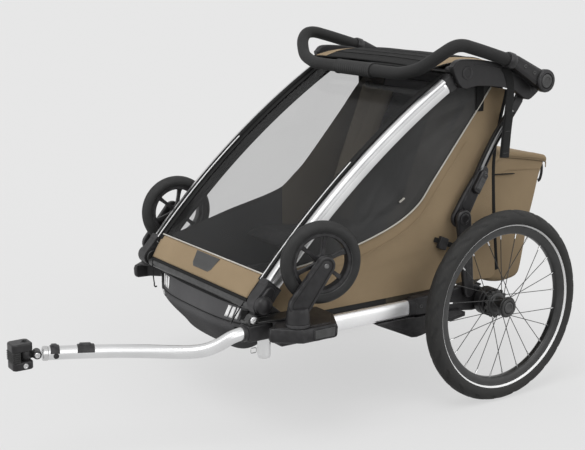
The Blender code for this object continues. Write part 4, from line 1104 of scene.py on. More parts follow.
def onPost(shape, side, sign):
    place = Matrix.Translation((sign * caster["post"][0], caster["post"][1], chassis["blockTop"]))
    turn = Matrix.Rotation(radians(caster["turn"][side]), 4, "Z")
    bmesh.ops.transform(shape, matrix=place @ turn, verts=shape.verts)
    return shape


def makeCasterFork(side, sign):
    body = f"caster_{side}"
    hub = (caster["trail"], caster["rise"])
    foot = (0.002, 0.05)

    def put(name, shape, material, bevel=0.0, replaces=()):
        addPiece(name + side, onPost(shape, side, sign), material, body, bevel, replaces=replaces, sharp=32)

    arm = dishedPlate(hub, foot, 0.0222, 0.0268,
        [(sign * x, pull) for x, pull in ((-0.0015, 0.0035), (-0.0006, 0.001), (0.001, 0.0), (0.011, 0.0),
        (0.0132, 0.0008), (0.0145, 0.0026), (0.015, 0.0048), (0.0146, 0.0062), (0.013, 0.0068),
        (0.013, 0.0085), (0.0138, 0.0093))])
    put("casterFork", arm, blackPlastic, replaces=["caster_fork_" + side])
    collar = [(0.0, 0.0003), (0.0272, 0.0003), (0.0292, 0.0016), (0.0295, 0.006), (0.0282, 0.0085),
        (0.0276, 0.009), (0.0282, 0.0102), (0.0268, 0.024), (0.0256, 0.035), (0.024, 0.044),
        (0.0215, 0.045), (0.0, 0.045)]
    put("casterCollar", lathe(collar, 56, (0, 0, 0), (0, 0, 1)), blackPlastic)
    put("casterStem", rod((0, 0, -0.028), (0, 0, 0.001), 0.0105, 24), brightSteel)
    put("casterAxle", rod((sign * 0.002, *hub), (-sign * (caster["inset"] + 0.012), *hub), 0.004, 16),
        brightSteel)
    bolt = [(0.0, 0.0), (0.0056, 0.0), (0.0058, 0.0018), (0.005, 0.0027), (0.0038, 0.0027),
        (0.0034, 0.0018), (0.0, 0.0018)]
    put("casterBoltRing", lathe([(r, sign * t) for r, t in bolt], 36, (sign * 0.0128, *hub)), slideMetal)
    put("casterBoltCap", lathe([(r, sign * t) for r, t in ((0.0, 0.0), (0.012, 0.0), (0.0125, 0.0012),
        (0.0112, 0.002), (0.0, 0.0022))], 40, (sign * 0.0121, *hub)), blackPlastic)
    nut = [(0.0, 0.0), (0.007, 0.0), (0.007, 0.003), (0.0058, 0.004), (0.0, 0.004)]
    put("casterNut", lathe([(r, -sign * t) for r, t in nut], 6, (-sign * (caster["inset"] + 0.0131), *hub)),
        brightSteel)


def makeCasterWheel(side, sign):
    body = f"caster_wheel_{side}_body"
    centre = (-sign * caster["inset"], caster["trail"], caster["rise"])
    bed = caster["radius"] - 0.026
    half = [(bed, 0.0), (bed, 0.0125), (bed + 0.0015, 0.015), (bed + 0.006, 0.0174), (bed + 0.011, 0.018),
        (bed + 0.0155, 0.0171), (bed + 0.0195, 0.0146), (bed + 0.0229, 0.0108), (bed + 0.025, 0.0062),
        (bed + 0.0253, 0.004), (bed + 0.0248, 0.0034), (bed + 0.0248, 0.0026), (bed + 0.0259, 0.002),
        (bed + 0.026, 0.0)]
    tyre = half + [(r, -t) for r, t in half[-2:0:-1]]

    def put(name, shape, material, bevel=0.0, replaces=(), sharp=32):
        addPiece(name + side, onPost(shape, side, sign), material, body, bevel, replaces=replaces,
            sharp=sharp)

    put("casterTyre", lathe(tyre, 120, centre, closed=True), gripRubber, 0, ["caster_tyre_" + side])
    line = [(bed - 0.0001, 0.0128), (bed + 0.0012, 0.0147), (bed + 0.0022, 0.0154), (bed + 0.0022, 0.0149),
        (bed + 0.0008, 0.0134)]
    for face in (1, -1):
        put("casterLine" + ("Outer" if face == sign else "Inner"),
            lathe([(r, face * t) for r, t in line], 96, centre, closed=True), greyPlastic)
    inner = bed - 0.0003
    rim = [(inner - 0.009, -0.0105), (inner - 0.0075, -0.0122), (inner - 0.0012, -0.0128), (inner, -0.0118),
        (inner, 0.0118), (inner - 0.0012, 0.0128), (inner - 0.0075, 0.0122), (inner - 0.009, 0.0105),
        (inner - 0.0098, 0.0)]
    put("casterRim", lathe(rim, 96, centre, closed=True), blackPlastic, 0, ["caster_wheel_" + side])
    hub = [(0.0045, -0.013), (0.0118, -0.013), (0.014, -0.0112), (0.0148, 0.0), (0.014, 0.0112),
        (0.0118, 0.013), (0.0045, 0.013)]
    put("casterHub", lathe(hub, 40, centre, closed=True), blackPlastic)
    for face in (1, -1):
        seal = [(0.0046, 0.0126), (0.0092, 0.0126), (0.0092, 0.0136), (0.0046, 0.0136)]
        put("casterSeal" + ("Outer" if face == sign else "Inner"),
            lathe([(r, face * t) for r, t in seal], 32, centre, closed=True), brightSteel)
    shape = bmesh.new()
    for k in range(6):
        turn = 2 * pi * k / 6 + radians(20.0)
        out, rows = Vector((cos(turn), sin(turn))), []
        wide = Vector((-out.y, out.x))
        for i in range(9):
            reach = 0.0115 + (inner - 0.0068 - 0.0115) * i / 8
            spread = 0.0062 - 0.0018 * sin(pi * i / 8) + (0.003 if i in (0, 8) else 0.0)
            thick = 0.0056 - 0.001 * sin(pi * i / 8)
            row = []
            for a, b in ((-1, -0.75), (-0.82, -1), (0.82, -1), (1, -0.75), (1, 0.75), (0.82, 1), (-0.82, 1),
                    (-1, 0.75)):
                flat = out * reach + wide * spread * a
                row.append((centre[0] + thick * b, centre[1] + flat.x, centre[2] + flat.y))
            rows.append(row)
        skin(shape, rows, wrap=True, caps=True)
    put("casterSpokes", shape, blackPlastic, 0)


for side, sign in sides:
    makeCasterFork(side, sign)
    makeCasterWheel(side, sign)
print("casters made")


# Hitch arm with its clamp, clips, neck and head; brake pedal

hitch = {
    "route": [(0.112, -1.15, 0.268), (0.13, -1.085, 0.264), (0.154, -1.01, 0.259), (0.18, -0.94, 0.253),
        (0.205, -0.885, 0.248), (0.228, -0.842, 0.246), (0.248, -0.81, 0.251), (0.264, -0.783, 0.264),
        (0.275, -0.76, 0.2785), (0.28, -0.735, 0.285), (0.28, -0.715, 0.285)],
    "bend": 0.026,
    "post": (0.28, -0.675),
    "tailLow": 0.215,
    "radius": 0.0155,
}


def hitchPath():
    path = [tuple(p) for p in smoothLine(hitch["route"], 8)]
    level, bend, (x, y) = hitch["route"][-1][2], hitch["bend"], hitch["post"]
    for i in range(13):
        turn = pi / 2 * (1 - i / 12)
        path.append((x, y - bend + bend * cos(turn), level - bend + bend * sin(turn)))
    path.append((x, y, hitch["tailLow"] + 0.01))
    clean = [path[0]]
    for p in path[1:]:
        if (Vector(p) - Vector(clean[-1])).length > 0.0012:
            clean.append(p)
    return clean


def atHitch(y):
    # the arm's centre and heading at a given place along Y
    path = [Vector(p) for p in hitchPath()]
    for a, b in zip(path, path[1:]):
        if a.y <= y <= b.y:
            return a.lerp(b, (y - a.y) / (b.y - a.y)), (b - a).normalized()
    return path[0], (path[1] - path[0]).normalized()


def clipBand(name, y, length, grow, turns, material):
    # a curved band round part of the arm, between two turns from straight up
    spot, heading = atHitch(y)
    sideways = sidewaysOf(heading)
    up = sideways.cross(heading).normalized()
    up = up if up.z > 0 else -up
    low, high = radians(turns[0]), radians(turns[1])
    rows = []
    for end, pull in ((-length / 2, 0.0012), (-length / 2 + 0.0012, 0), (length / 2 - 0.0012, 0),
            (length / 2, 0.0012)):
        row = []
        for out, back in ((hitch["radius"] + grow - pull, 0), (hitch["radius"] - 0.0003, 1)):
            for i in range(19):
                t = low + (high - low) * (18 - i if back else i) / 18
                row.append(spot + heading * end + up * out * cos(t) + sideways * out * sin(t))
        rows.append(row)
    addPiece(name, closedSkin(rows), material, "hitch_arm_body")


def makeHitchArm():
    addPiece("hitchArm", sweep(hitchPath(), ring((0, 0), hitch["radius"], 40)), silver, "hitch_arm_body",
        replaces=["hitch_arm"])
    x, y = hitch["post"]
    plan = belt([(x, y, 0.0205), (x - 0.014, y - 0.047, 0.006), (x + 0.014, y - 0.047, 0.006)])
    addPiece("hitchClamp", prism(plan, 0.2655, 0.3055, "Z"), blackPlastic, "hitch_arm_body", 0.005, 4,
        replaces=["hitch_clamp"])
    collar = [(0.015, 0.0), (0.0185, 0.0), (0.02, 0.0015), (0.02, 0.0085), (0.0188, 0.01), (0.015, 0.01)]
    addPiece("clampCollar", lathe(collar, 40, (x, y - 0.062, 0.285), (0, 1, 0), closed=True), blackPlastic,
        "hitch_arm_body")
    foot = [(0.0, 0.0004), (0.0095, 0.001), (0.0135, 0.003), (0.0153, 0.0065), (0.0155, 0.011),
        (0.0, 0.011)]
    addPiece("armFoot", lathe(foot, 40, (x, y, hitch["tailLow"] - 0.0002), (0, 0, 1)), silver,
        "hitch_arm_body")
    clipBand("armClipFront", -1.124, 0.02, 0.0028, (-80, 80), blackPlastic)
    clipBand("armClipRear", -1.058, 0.038, 0.0028, (-80, 80), blackPlastic)
    clipBand("armLip", -1.1435, 0.012, 0.0012, (-179, 179), brightSteel)
    for name, y, length in (("Front", -1.124, 0.013), ("Rear", -1.058, 0.026)):
        spot, heading = atHitch(y)
        sideways = sidewaysOf(heading)
        base = spot + Vector((0, 0, hitch["radius"] + 0.0022))
        rows = []
        for a, pull in ((-length / 2, 0.0014), (-length / 2 + 0.002, 0.0), (length / 2 - 0.002, 0.0),
                (length / 2, 0.0014)):
            row = []
            for u, v in ((-1, 0), (-0.8, 0.8), (-0.3, 1), (0.3, 1), (0.8, 0.8), (1, 0), (1, -0.8),
                    (-1, -0.8)):
                row.append(base + heading * a + sideways * u * (0.0075 - pull)
                    + Vector((0, 0, v * (0.0032 - pull))))
            rows.append(row)
        addPiece("armClipTab" + name, closedSkin(rows), blackPlastic, "hitch_arm_body")
    spot, heading = atHitch(-1.122)
    sideways = sidewaysOf(heading)
    sideways = sideways if sideways.x > 0 else -sideways
    knob = [(0.0, -0.002), (0.0062, -0.002), (0.0062, 0.0016), (0.0054, 0.0026), (0.0, 0.003)]
    seat = spot + sideways * (hitch["radius"] - 0.0006) - Vector((0, 0, 0.003))
    addPiece("armButton", lathe(knob, 32, seat, sideways), blackPlastic, "hitch_arm_body")


def makeHitchHead():
    end, second = Vector(hitch["route"][0]), Vector(hitch["route"][1])
    heading = (end - second).normalized()
    lateral = sidewaysOf(heading)
    pitch = end + heading * 0.0115
    eye = pitch + heading * 0.0265
    up = Vector((0, 0, 1))
    neck = "hitch_neck_body"
    addPiece("hitchNeck", rod(pitch - lateral * 0.0135, pitch + lateral * 0.0135, 0.0095, 32, bevel=0.0012),
        blackPlastic, neck, replaces=["hitch_neck"])
    boot = [(0.009, 0.004), (0.0092, 0.0085), (0.008, 0.01), (0.0092, 0.0115), (0.008, 0.013),
        (0.0092, 0.0145), (0.008, 0.0165), (0.0, 0.0165), (0.0, 0.004)]
    addPiece("neckBoot", lathe(boot, 36, pitch, heading), gripRubber, neck)
    addPiece("neckEye", lathe([(0.0056, -0.0108), (0.0125, -0.0108), (0.0135, -0.0095), (0.0135, 0.0095),
        (0.0125, 0.0108), (0.0056, 0.0108)], 36, eye, up, closed=True), blackPlastic, neck)
    for face in (-1, 1):
        screw("neckScrew" + ("Outer" if face > 0 else "Inner"), pitch + lateral * 0.0133 * face,
            lateral * face, 0.0062, neck, brightSteel)
    head, halfX, front, back, halfZ = "hitch_head_body", 0.021, 0.034, 0.0135, 0.03
    slot = 0.0115

    def half(low, high):
        plan = [(-halfX, -front + 0.006), (-halfX + 0.006, -front), (halfX - 0.006, -front),
            (halfX, -front + 0.006), (halfX, back - 0.006), (halfX - 0.006, back), (-halfX + 0.006, back),
            (-halfX, back - 0.006)]
        return prism([(eye.x + x, eye.y + y) for x, y in plan], eye.z + low, eye.z + high, "Z")

    addPiece("hitchHead", half(slot, halfZ), blackPlastic, head, 0.003, 4, replaces=["hitch_head"])
    addPiece("headLower", half(-halfZ, -slot), blackPlastic, head, 0.003, 4)
    core = [(eye.x + x, eye.y + y) for x, y in ((-halfX + 0.0012, -front + 0.0012),
        (halfX - 0.0012, -front + 0.0012), (halfX - 0.0012, -0.016), (-halfX + 0.0012, -0.016))]
    addPiece("headCore", prism(core, eye.z - slot - 0.001, eye.z + slot + 0.001, "Z"), gripRubber, head,
        0.001, 2)
    for i in range(5):
        z = eye.z - 0.0092 + 0.0046 * i
        rib = [(eye.x - halfX + 0.0016, eye.y - front + 0.001, z),
            (eye.x + halfX - 0.0016, eye.y - front + 0.001, z)]
        addPiece(f"headRib{i}", sweep(rib, ring((0, 0), 0.0012, 10), (0, 0, 1)), gripRubber, head)
        for face in (-1, 1):
            x = eye.x + face * (halfX - 0.001)
            flank = [(x, eye.y - front + 0.002, z), (x, eye.y - 0.0165, z)]
            addPiece(f"headFlank{i}{'Left' if face > 0 else 'Right'}",
                sweep(flank, ring((0, 0), 0.0012, 10), (0, 0, 1)), gripRubber, head)
    addPiece("headPost", rod(eye - up * 0.02, eye + up * 0.02, 0.005, 20), brightSteel, head)
    screw("headScrew", (eye.x + halfX - 0.0004, eye.y - 0.006, eye.z - 0.0205), (1, 0, 0), 0.0058, head,
        brightSteel)
    cap = [(0.0, 0.0), (0.0105, 0.0), (0.0105, 0.001), (0.0092, 0.002), (0.006, 0.002), (0.0054, 0.0012),
        (0.0, 0.0012)]
    addPiece("headCap", lathe(cap, 36, (eye.x, eye.y, eye.z + halfZ - 0.0012), up), blackPlastic, head)


def makeBrakePedal():
    sleeve = [(0.0166, -0.02), (0.02, -0.02), (0.0215, -0.0185), (0.0215, 0.0185), (0.02, 0.02),
        (0.0166, 0.02)]
    addPiece("pedalSleeve", lathe(sleeve, 44, (0.16, 0, axleHeight), closed=True), blackPlastic,
        "brake_pedal_body", replaces=["brake_pedal"])
    section = [(0.0195, 0.2462), (0.05, 0.2492), (0.0765, 0.2522), (0.08, 0.255), (0.0795, 0.2585),
        (0.076, 0.259), (0.045, 0.2572), (0.0195, 0.256)]
    addPiece("pedalPlate", prism(section, 0.128, 0.192), blackPlastic, "brake_pedal_body", 0.0018)
    for i in range(6):
        y, z = 0.04 + 0.006 * i, 0.2571 + 0.0005 * i
        addPiece(f"pedalRib{i}", sweep([(0.134, y, z), (0.186, y, z)], ring((0, 0), 0.0012, 10), (0, 1, 0)),
            gripRubber, "brake_pedal_body")


makeHitchArm()
makeHitchHead()
makeBrakePedal()
print("hitch and pedal made")


# Cloth: helpers for sheets and their folds

cloth = {
    "plane": 0.2474,
    "foldLean": (-0.4827, 0.8758),
    "foldStart": 0.3,
    "foldEnd": 0.645,
    "rippleSize": 0.0016,
    "creaseSize": 0.0011,
}


def ripple(x, y, z, seed=0.0):
    # soft uneven folds, in metres
    low = noise.noise(Vector((x * 3.1 + seed, y * 7.0, z * 7.0)))
    high = noise.noise(Vector((x * 9.0 + seed + 5.0, y * 17.0 + z * 9.0, z * 15.0 - y * 8.0)))
    return cloth["rippleSize"] * low + cloth["creaseSize"] * high


def crease(y, z, start, end, width, depth):
    # one soft crease along a line in the side view
    a, b, p = Vector(start), Vector(end), Vector((y, z))
    share = min(1.0, max(0.0, (p - a).dot(b - a) / (b - a).length_squared))
    away = (p - a.lerp(b, share)).length / width
    return depth * exp(-away * away) * sin(pi * (0.12 + 0.76 * share))


def foldWith(piece):
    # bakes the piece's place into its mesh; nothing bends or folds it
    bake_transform(piece)


def addCloth(name, rows, material, body=None, outward=None, thick=0.0, replaces=(), flat=None, rests=(),
        held="stretched", start=None, end=None):
    shape = bmesh.new()
    skin(shape, rows)
    if outward is not None:
        total = Vector()
        for face in shape.faces:
            face.normal_update()
            total += face.normal * face.calc_area()
        if total.dot(Vector(outward)) < 0:
            bmesh.ops.reverse_faces(shape, faces=shape.faces)
    area = sum(face.calc_area() for face in shape.faces)
    piece = addPiece(name, shape, material, body, replaces=replaces, keepNormals=True, sharp=60)
    if thick:
        step = piece.modifiers.new("thickness", "SOLIDIFY")
        step.thickness = thick
        step.offset = 0.0
    if body is None:
        foldWith(piece)
    return piece


def addTrim(name, path, half, thick, material, body=None, side=None, start=None, end=None, count=12):
    # a flat band or a round piping (thick None) along a path
    section = ring((0, 0), half, count) if thick is None else flatOval(half, thick, count)
    piece = addPiece(name, sweep(path, section, side), material, body)
    if body is None:
        foldWith(piece)
    return piece


# Sides: window mesh, khaki panel, piping, binding

sidePanel = {
    "piping": [(-0.625, 0.402), (-0.52, 0.415), (-0.41, 0.434), (-0.278, 0.473), (-0.199, 0.517),
        (-0.152, 0.572), (-0.1, 0.635), (-0.047, 0.699), (-0.005, 0.75), (0.035, 0.8)],
    "lower": [(-0.65, 0.296), (-0.52, 0.291), (-0.4, 0.29), (-0.25, 0.29), (-0.12, 0.291), (0.0, 0.293),
        (0.08, 0.31), (0.06, 0.5), (0.058, 0.64), (0.092, 0.79)],
    "bulge": 0.0042,
    "pipingRadius": 0.0021,
    # start, end, width and depth of the window's soft folds
    "windowFolds": [((-0.205, 0.762), (-0.294, 0.552), 0.011, 0.0032),
        ((-0.149, 0.783), (-0.243, 0.521), 0.009, -0.003), ((-0.113, 0.69), (-0.014, 0.726), 0.008, 0.0034),
        ((-0.131, 0.651), (-0.019, 0.69), 0.01, -0.003), ((-0.307, 0.588), (-0.403, 0.465), 0.009, 0.0034),
        ((-0.168, 0.584), (-0.261, 0.482), 0.008, 0.0026),
        ((-0.403, 0.49), (-0.262, 0.508), 0.012, -0.0026), ((-0.27, 0.64), (-0.345, 0.5), 0.007, -0.0028)],
}


def lineThrough(points, perSpan):
    return [(p[1], p[2]) for p in smoothLine([(0.0, *q) for q in points], perSpan)]


def alongTo(points, count):
    # the same line with evenly spaced points
    points = [Vector(p) for p in points]
    lengths = [0.0]
    for a, b in zip(points, points[1:]):
        lengths.append(lengths[-1] + (b - a).length)
    out, i = [], 0
    for k in range(count):
        want = lengths[-1] * k / (count - 1)
        while i < len(points) - 2 and lengths[i + 1] < want:
            i += 1
        share = (want - lengths[i]) / max(1e-9, lengths[i + 1] - lengths[i])
        out.append(tuple(points[i].lerp(points[i + 1], min(1.0, max(0.0, share)))))
    return out


def between(one, two, count):
    # rows of points that lead from one line to the other
    shares = [k / (count - 1) for k in range(count)]
    return [[(a + (c - a) * v, b + (d - b) * v) for v in shares] for (a, b), (c, d) in zip(one, two)]


def sideDepth(y, z, seed):
    depth = ripple(0.0, y, z, seed)
    depth += crease(y, z, (-0.4, 0.455), (-0.25, 0.56), 0.01, 0.002)
    depth += crease(y, z, (-0.2, 0.72), (-0.02, 0.772), 0.012, 0.0026)
    depth += crease(y, z, (-0.24, 0.64), (-0.07, 0.74), 0.014, -0.0022)
    depth += crease(y, z, (-0.33, 0.36), (-0.11, 0.398), 0.009, -0.002)
    return depth


def makeSide(side, sign):
    plane, seed = cloth["plane"], 3.0 if sign > 0 else 11.0
    piping = lineThrough(sidePanel["piping"], 7)
    lower = lineThrough(sidePanel["lower"], 7)
    rows = []
    for i, points in enumerate(between(piping, lower, 15)):
        row = []
        for k, (y, z) in enumerate(points):
            hump = sin(pi * k / 14)
            swell = sidePanel["bulge"] * hump ** 0.7 * sin(pi * min(1.0, (i + 2) / len(piping)))
            row.append((sign * (plane + max(-0.001, swell + sideDepth(y, z, seed) * hump ** 0.5)), y, z))
        rows.append(row)
    addCloth("khakiSide" + side, rows, khaki, outward=(sign, 0, 0), replaces=["side_panel_" + side],
        flat=(0.3, 0.95), rests=["rail_" + side])
    tube = alongTo([besideTube(k / 40, -0.015) for k in range(1, 41)] + [(-0.112, 0.808), (-0.06, 0.806),
        (0.03, 0.803)], 60)
    rows = []
    for i, points in enumerate(between(tube, alongTo(piping, 60), 31)):
        row = []
        for k, (y, z) in enumerate(points):
            folds = sum(crease(y, z, *fold) for fold in sidePanel["windowFolds"])
            depth = (sideDepth(y, z, seed + 2.0) * 1.6 + folds) * sin(pi * k / 30) ** 0.5 * min(1.0, i / 6)
            row.append((sign * (plane - 0.0004 + depth), y, z))
        rows.append(row)
    addCloth("windowMesh" + side, rows, sideMesh, outward=(sign, 0, 0), flat=(0.42, 0.8),
        rests=["front_tube_" + side])
    addTrim("sidePiping" + side, [(sign * (plane + 0.0024), y, z) for y, z in piping],
        sidePanel["pipingRadius"], None, pipingCord)
    backEdge = lineThrough(sidePanel["lower"][6:], 8)
    addTrim("sideBackEdge" + side, [(sign * (plane + 0.0008), y, z) for y, z in backEdge], 0.0055, 0.0014,
        binding, side=(1, 0, 0))
    front = [besideTube(k / 30, -0.014) for k in range(1, 31)]
    addTrim("windowBinding" + side, [(sign * (plane + 0.0012), y, z) for y, z in front], 0.005, 0.0012,
        binding, side=(1, 0, 0))
    seam = [(sign * (plane + 0.006 + sideDepth(y, z - 0.03, seed) * 0.6), y + 0.004, z - 0.03)
        for y, z in alongTo(piping[4:-14], 40)]
    addTrim("khakiSeam" + side, seam, 0.0007, None, khaki)
    strap = [(-0.146, 0.4235), (-0.1197, 0.413), (-0.078, 0.3965), (-0.0369, 0.3806), (-0.03, 0.378)]
    addTrim("sideStrap" + side, [(sign * (plane + 0.0085), y, z) for y, z in alongTo(strap, 14)], 0.0065,
        0.0013, webbing, side=(1, 0, 0))
    clip = [(-0.14, 0.401), (-0.115, 0.391), (-0.104, 0.421), (-0.129, 0.431)]
    piece = addPiece("sideClip" + side, prism(clip, sign * (plane + 0.006), sign * (plane + 0.019)),
        blackPlastic, None, 0.003, 3)
    foldWith(piece)
    if sign > 0:
        tag = [(-0.2583, 0.5329), (-0.2433, 0.5419), (-0.2416, 0.5391), (-0.2566, 0.5301)]
        piece = addPiece("windowTag", prism(tag, plane + 0.0002, plane + 0.005), pipingCord, None,
            0.0003, 1)
        foldWith(piece)
    inner = [(sign * (plane + 0.003), y, z) for y, z in ((-0.003, 0.806), (-0.0012, 0.775), (-0.001, 0.755),
        (-0.0015, 0.74))]
    addTrim("windowStrap" + side, inner, 0.0125, 0.0008, binding, side=(1, 0, 0))


for side, sign in sides:
    makeSide(side, sign)
print("sides made")


# Front cover: clear film, bindings, khaki strip with its bare badge, elastic hooks

frontCover = {
    "half": 0.25,
    "offset": 0.014,
    "stripTop": 0.035,
    "stripFoot": (-0.693, 0.3515),
    "badge": [(-0.056, 0.93), (0.056, 0.93), (0.046, 0.42), (0.036, 0.3), (-0.036, 0.3), (-0.046, 0.42)],
    "hooks": [(0.232, -0.6985, 0.343), (0.198, -0.712, 0.288)],
}


def makeFrontCover():
    half = frontCover["half"]
    rows = []
    for k in range(49):
        share = frontCover["stripTop"] + (0.995 - frontCover["stripTop"]) * k / 48
        row = []
        for i in range(33):
            u = -1 + 2 * i / 32
            swell = 0.0022 * (1 - u * u) * sin(pi * k / 48) + ripple(u * 0.25, share, 0.2) * 0.5
            y, z = besideTube(share, frontCover["offset"] + swell)
            row.append((u * half, y, z))
        rows.append(row)
    addCloth("frontFilm", rows, clearFilm, "upper_frame", outward=(0, -1, 1), replaces=["front_window"],
        flat=(0.51, 0.76), rests=["front_tube_left", "front_tube_right"])
    for side, sign in sides:
        edge = [besideTube(k / 60, frontCover["offset"] + 0.0022) for k in range(1, 60)]
        addTrim("coverBinding" + side, [(sign * 0.2478, y, z) for y, z in edge], 0.0088, 0.0013, binding,
            "upper_frame", side=(0, 0.64, 0.77))
        over = ((-0.0185, 0.2556), (-0.01, 0.2553), (0.0, 0.2552), (0.01, 0.2552), (0.019, 0.2556),
            (0.0214, 0.2572), (0.0219, 0.262), (0.0218, 0.269))
        rows = [[(sign * x, *besideTube(k / 60, offset)) for offset, x in over] for k in range(1, 60)]
        addCloth("tubeCover" + side, rows, binding, "upper_frame", outward=(-sign, 0, 0), thick=0.0008)
        addTrim("coverLine" + side, [(sign * 0.256, *besideTube(k / 60, 0.0216)) for k in range(1, 32)],
            0.0015, None, reflector, "upper_frame")
    top = Vector(besideTube(frontCover["stripTop"], frontCover["offset"] + 0.0012))
    foot = Vector(frontCover["stripFoot"]) + Vector((-0.0012, 0.0006))
    out = Vector((foot.y - top.y, top.x - foot.x)).normalized()
    out = out if out.x < 0 else -out
    rows = []
    for k in range(15):
        v = k / 14
        row = []
        for i in range(41):
            u = -1 + 2 * i / 40
            spot = top.lerp(foot, v) + out * (0.0016 * sin(pi * v) + ripple(u * 0.3, v * 0.1, 0.0,
                7.0) * 0.35)
            row.append((u * (0.2475 - 0.0105 * v), spot.x, spot.y))
        rows.append(row)
    addCloth("khakiStrip", rows, khaki, "upper_frame", outward=(0, -1, 1), thick=0.0016,
        replaces=["front_strip"], flat=(0.5, 0.05), rests=["front_cross_tube"])
    addTrim("stripPiping", [(u * 0.2475, top.x + out.x * 0.0012, top.y + out.y * 0.0012 + 0.0012)
        for u in [i / 20 - 1 for i in range(41)]], 0.0019, None, pipingCord, "upper_frame")
    addTrim("stripHem", [(u * 0.2365, foot.x + 0.0005, foot.y - 0.004)
        for u in [i / 20 - 1 for i in range(41)]], 0.0052, 0.0018, binding, "upper_frame",
        side=(0, -0.8, 0.6))
    rows = []
    for lift, pull in ((0.0014, 0.0), (0.003, 0.0), (0.004, 0.0012), (0.004, 0.003), (0.0035, 0.0036)):
        row = []
        for x, v in frontCover["badge"]:
            spot = foot.lerp(top, v + copysign(pull * 22, 0.62 - v)) + out * lift
            row.append((x - copysign(pull, x), spot.x, spot.y))
        rows.append(row)
    addPiece("badgePlate", closedSkin(rows), greyPlastic, "upper_frame", 0.0005, 2)
    for side, sign in sides:
        ends = [Vector((sign * x, y, z)) for x, y, z in frontCover["hooks"]]
        path = [ends[0].lerp(ends[1], i / 12) + Vector((0, -0.0015 * sin(pi * i / 12), 0))
            for i in range(13)]
        piece = addPiece("hookCord" + side, sweep(path, ring((0, 0), 0.0016, 12)), binding, "upper_frame")
        hook = [ends[1] + Vector((-sign * x, y, z)) for x, y, z in ((0, 0, 0.004), (0.001, -0.001, -0.002),
            (0.004, -0.0005, -0.006), (0.008, 0.002, -0.004))]
        addPiece("hook" + side, sweep(smoothLine(hook, 5), flatOval(0.0028, 0.0014)), blackPlastic,
            "upper_frame")


makeFrontCover()
print("front cover made")


# Roof: khaki side bands, dark middle with a rolled hem and seams

roof = {
    "profile": [(-0.172, 0.856), (-0.15, 0.8625), (-0.12, 0.868), (-0.085, 0.871), (-0.05, 0.872),
        (-0.015, 0.8708), (0.02, 0.868), (0.045, 0.863), (0.062, 0.858)],
    "half": 0.252,
    "dark": 0.186,
    "seams": (-0.14, -0.105, -0.06, 0.005),
}


def roofSpot(u, y, z):
    return (u * roof["half"], y, z + 0.0045 * (1 - u * u) - 0.0035 * abs(u) ** 8 + ripple(u * 0.4, y * 2.0,
        0.5, 21.0) * 0.7)


def makeRoof():
    line = lineThrough(roof["profile"], 4)
    split = roof["dark"] / roof["half"]
    for name, low, high, count, material, lift in (("roofDark", -split, split, 45, roofFabric, 0.0006),
            ("roofKhakiRight", -1.0, -split, 9, khaki, 0.0), ("roofKhakiLeft", split, 1.0, 9, khaki, 0.0)):
        rows = []
        for y, z in line:
            row = []
            for i in range(count):
                u = low + (high - low) * i / (count - 1)
                x, y2, z2 = roofSpot(u, y, z)
                fold = sum(0.0016 * exp(-((y - s) / 0.0045) ** 2)
                    for s in roof["seams"]) if name == "roofDark" else 0.0
                row.append((x, y2, z2 + lift + fold))
            rows.append(row)
        flat = (0.4, 0.25) if name == "roofDark" else (0.062, 0.25)
        addCloth(name, rows, material, "upper_frame", outward=(0, 0, 1), thick=0.0016,
            replaces=["roof"] if name == "roofDark" else (), flat=flat, rests=["roof_bar"])
    for k, sign in ((0, -1), (1, 1)):
        path = [Vector(roofSpot(sign * split, y, z)) + Vector((0, 0, 0.0014)) for y, z in line]
        addTrim(f"roofJoin{k}", path, 0.0014, None, binding, "upper_frame")
        path = [Vector(roofSpot(sign * 0.992, y, z)) + Vector((0, 0, 0.0004)) for y, z in line]
        addTrim(f"roofEdge{k}", path, 0.003, 0.0014, binding, "upper_frame", side=(0, 0, 1))
    for i, seam in enumerate(roof["seams"]):
        z = [b for a, b in line if a >= seam][0]
        path = [Vector(roofSpot(u / 24 * split, seam, z)) + Vector((0, 0, 0.0024)) for u in range(-24, 25)]
        addTrim(f"roofSeam{i}", path, 0.0008, None, binding, "upper_frame")
    for i, (y, z) in enumerate((line[0], line[-1])):
        path = [Vector(roofSpot(u / 24, y, z)) for u in range(-24, 25)]
        addTrim(f"roofHem{i}", path, 0.0042, 0.002, binding, "upper_frame", side=(0, 0.2, 1))
    y0, z0 = line[-1]
    rows = []
    for k in range(9):
        v = k / 8
        rows.append([(u / 20 * (0.252 - 0.008 * v), y0 + 0.021 * v,
            (z0 + 0.0045 * (1 - (u / 20) ** 2) * (1 - v) - 0.0035 * (1 - v) * abs(u / 20) ** 8) - 0.073 * v)
            for u in range(-20, 21)])
    addCloth("roofBackFlap", rows, darkFabric, "upper_frame", outward=(0, 1, 0.3), thick=0.0014,
        flat=(0.51, 0.09), rests=["roof_bar"])


makeRoof()
print("roof made")


# Footwell tub under the front, open on top

tub = {
    "line": [(-0.692, 0.3225), (-0.701, 0.295), (-0.7105, 0.266), (-0.704, 0.248), (-0.676, 0.214),
        (-0.656, 0.1905), (-0.64, 0.189), (-0.577, 0.212), (-0.52, 0.2275), (-0.46, 0.242), (-0.33, 0.243),
        (-0.2, 0.243), (-0.2, 0.283)],
    "half": 0.2335,
    "seamHeight": 0.279,
}


def tubSpot(x, y, z):
    u = abs(x) / tub["half"]
    front = min(1.0, max(0.0, (-0.56 - y) / 0.13))
    slope = min(1.0, max(0.0, (0.312 - z) / 0.1)) ** 0.9 * min(1.0, max(0.0, (-0.45 - y) / 0.14))
    x *= 1 - 0.19 * slope
    y += (0.026 + 0.02 * slope) * front * u ** 3.5
    if z < 0.235 and y < -0.47:
        z += 0.044 * u ** 6 * min(1.0, (0.235 - z) / 0.035)
    return (x, y, z + ripple(x, y, z, 31.0) * 0.8)


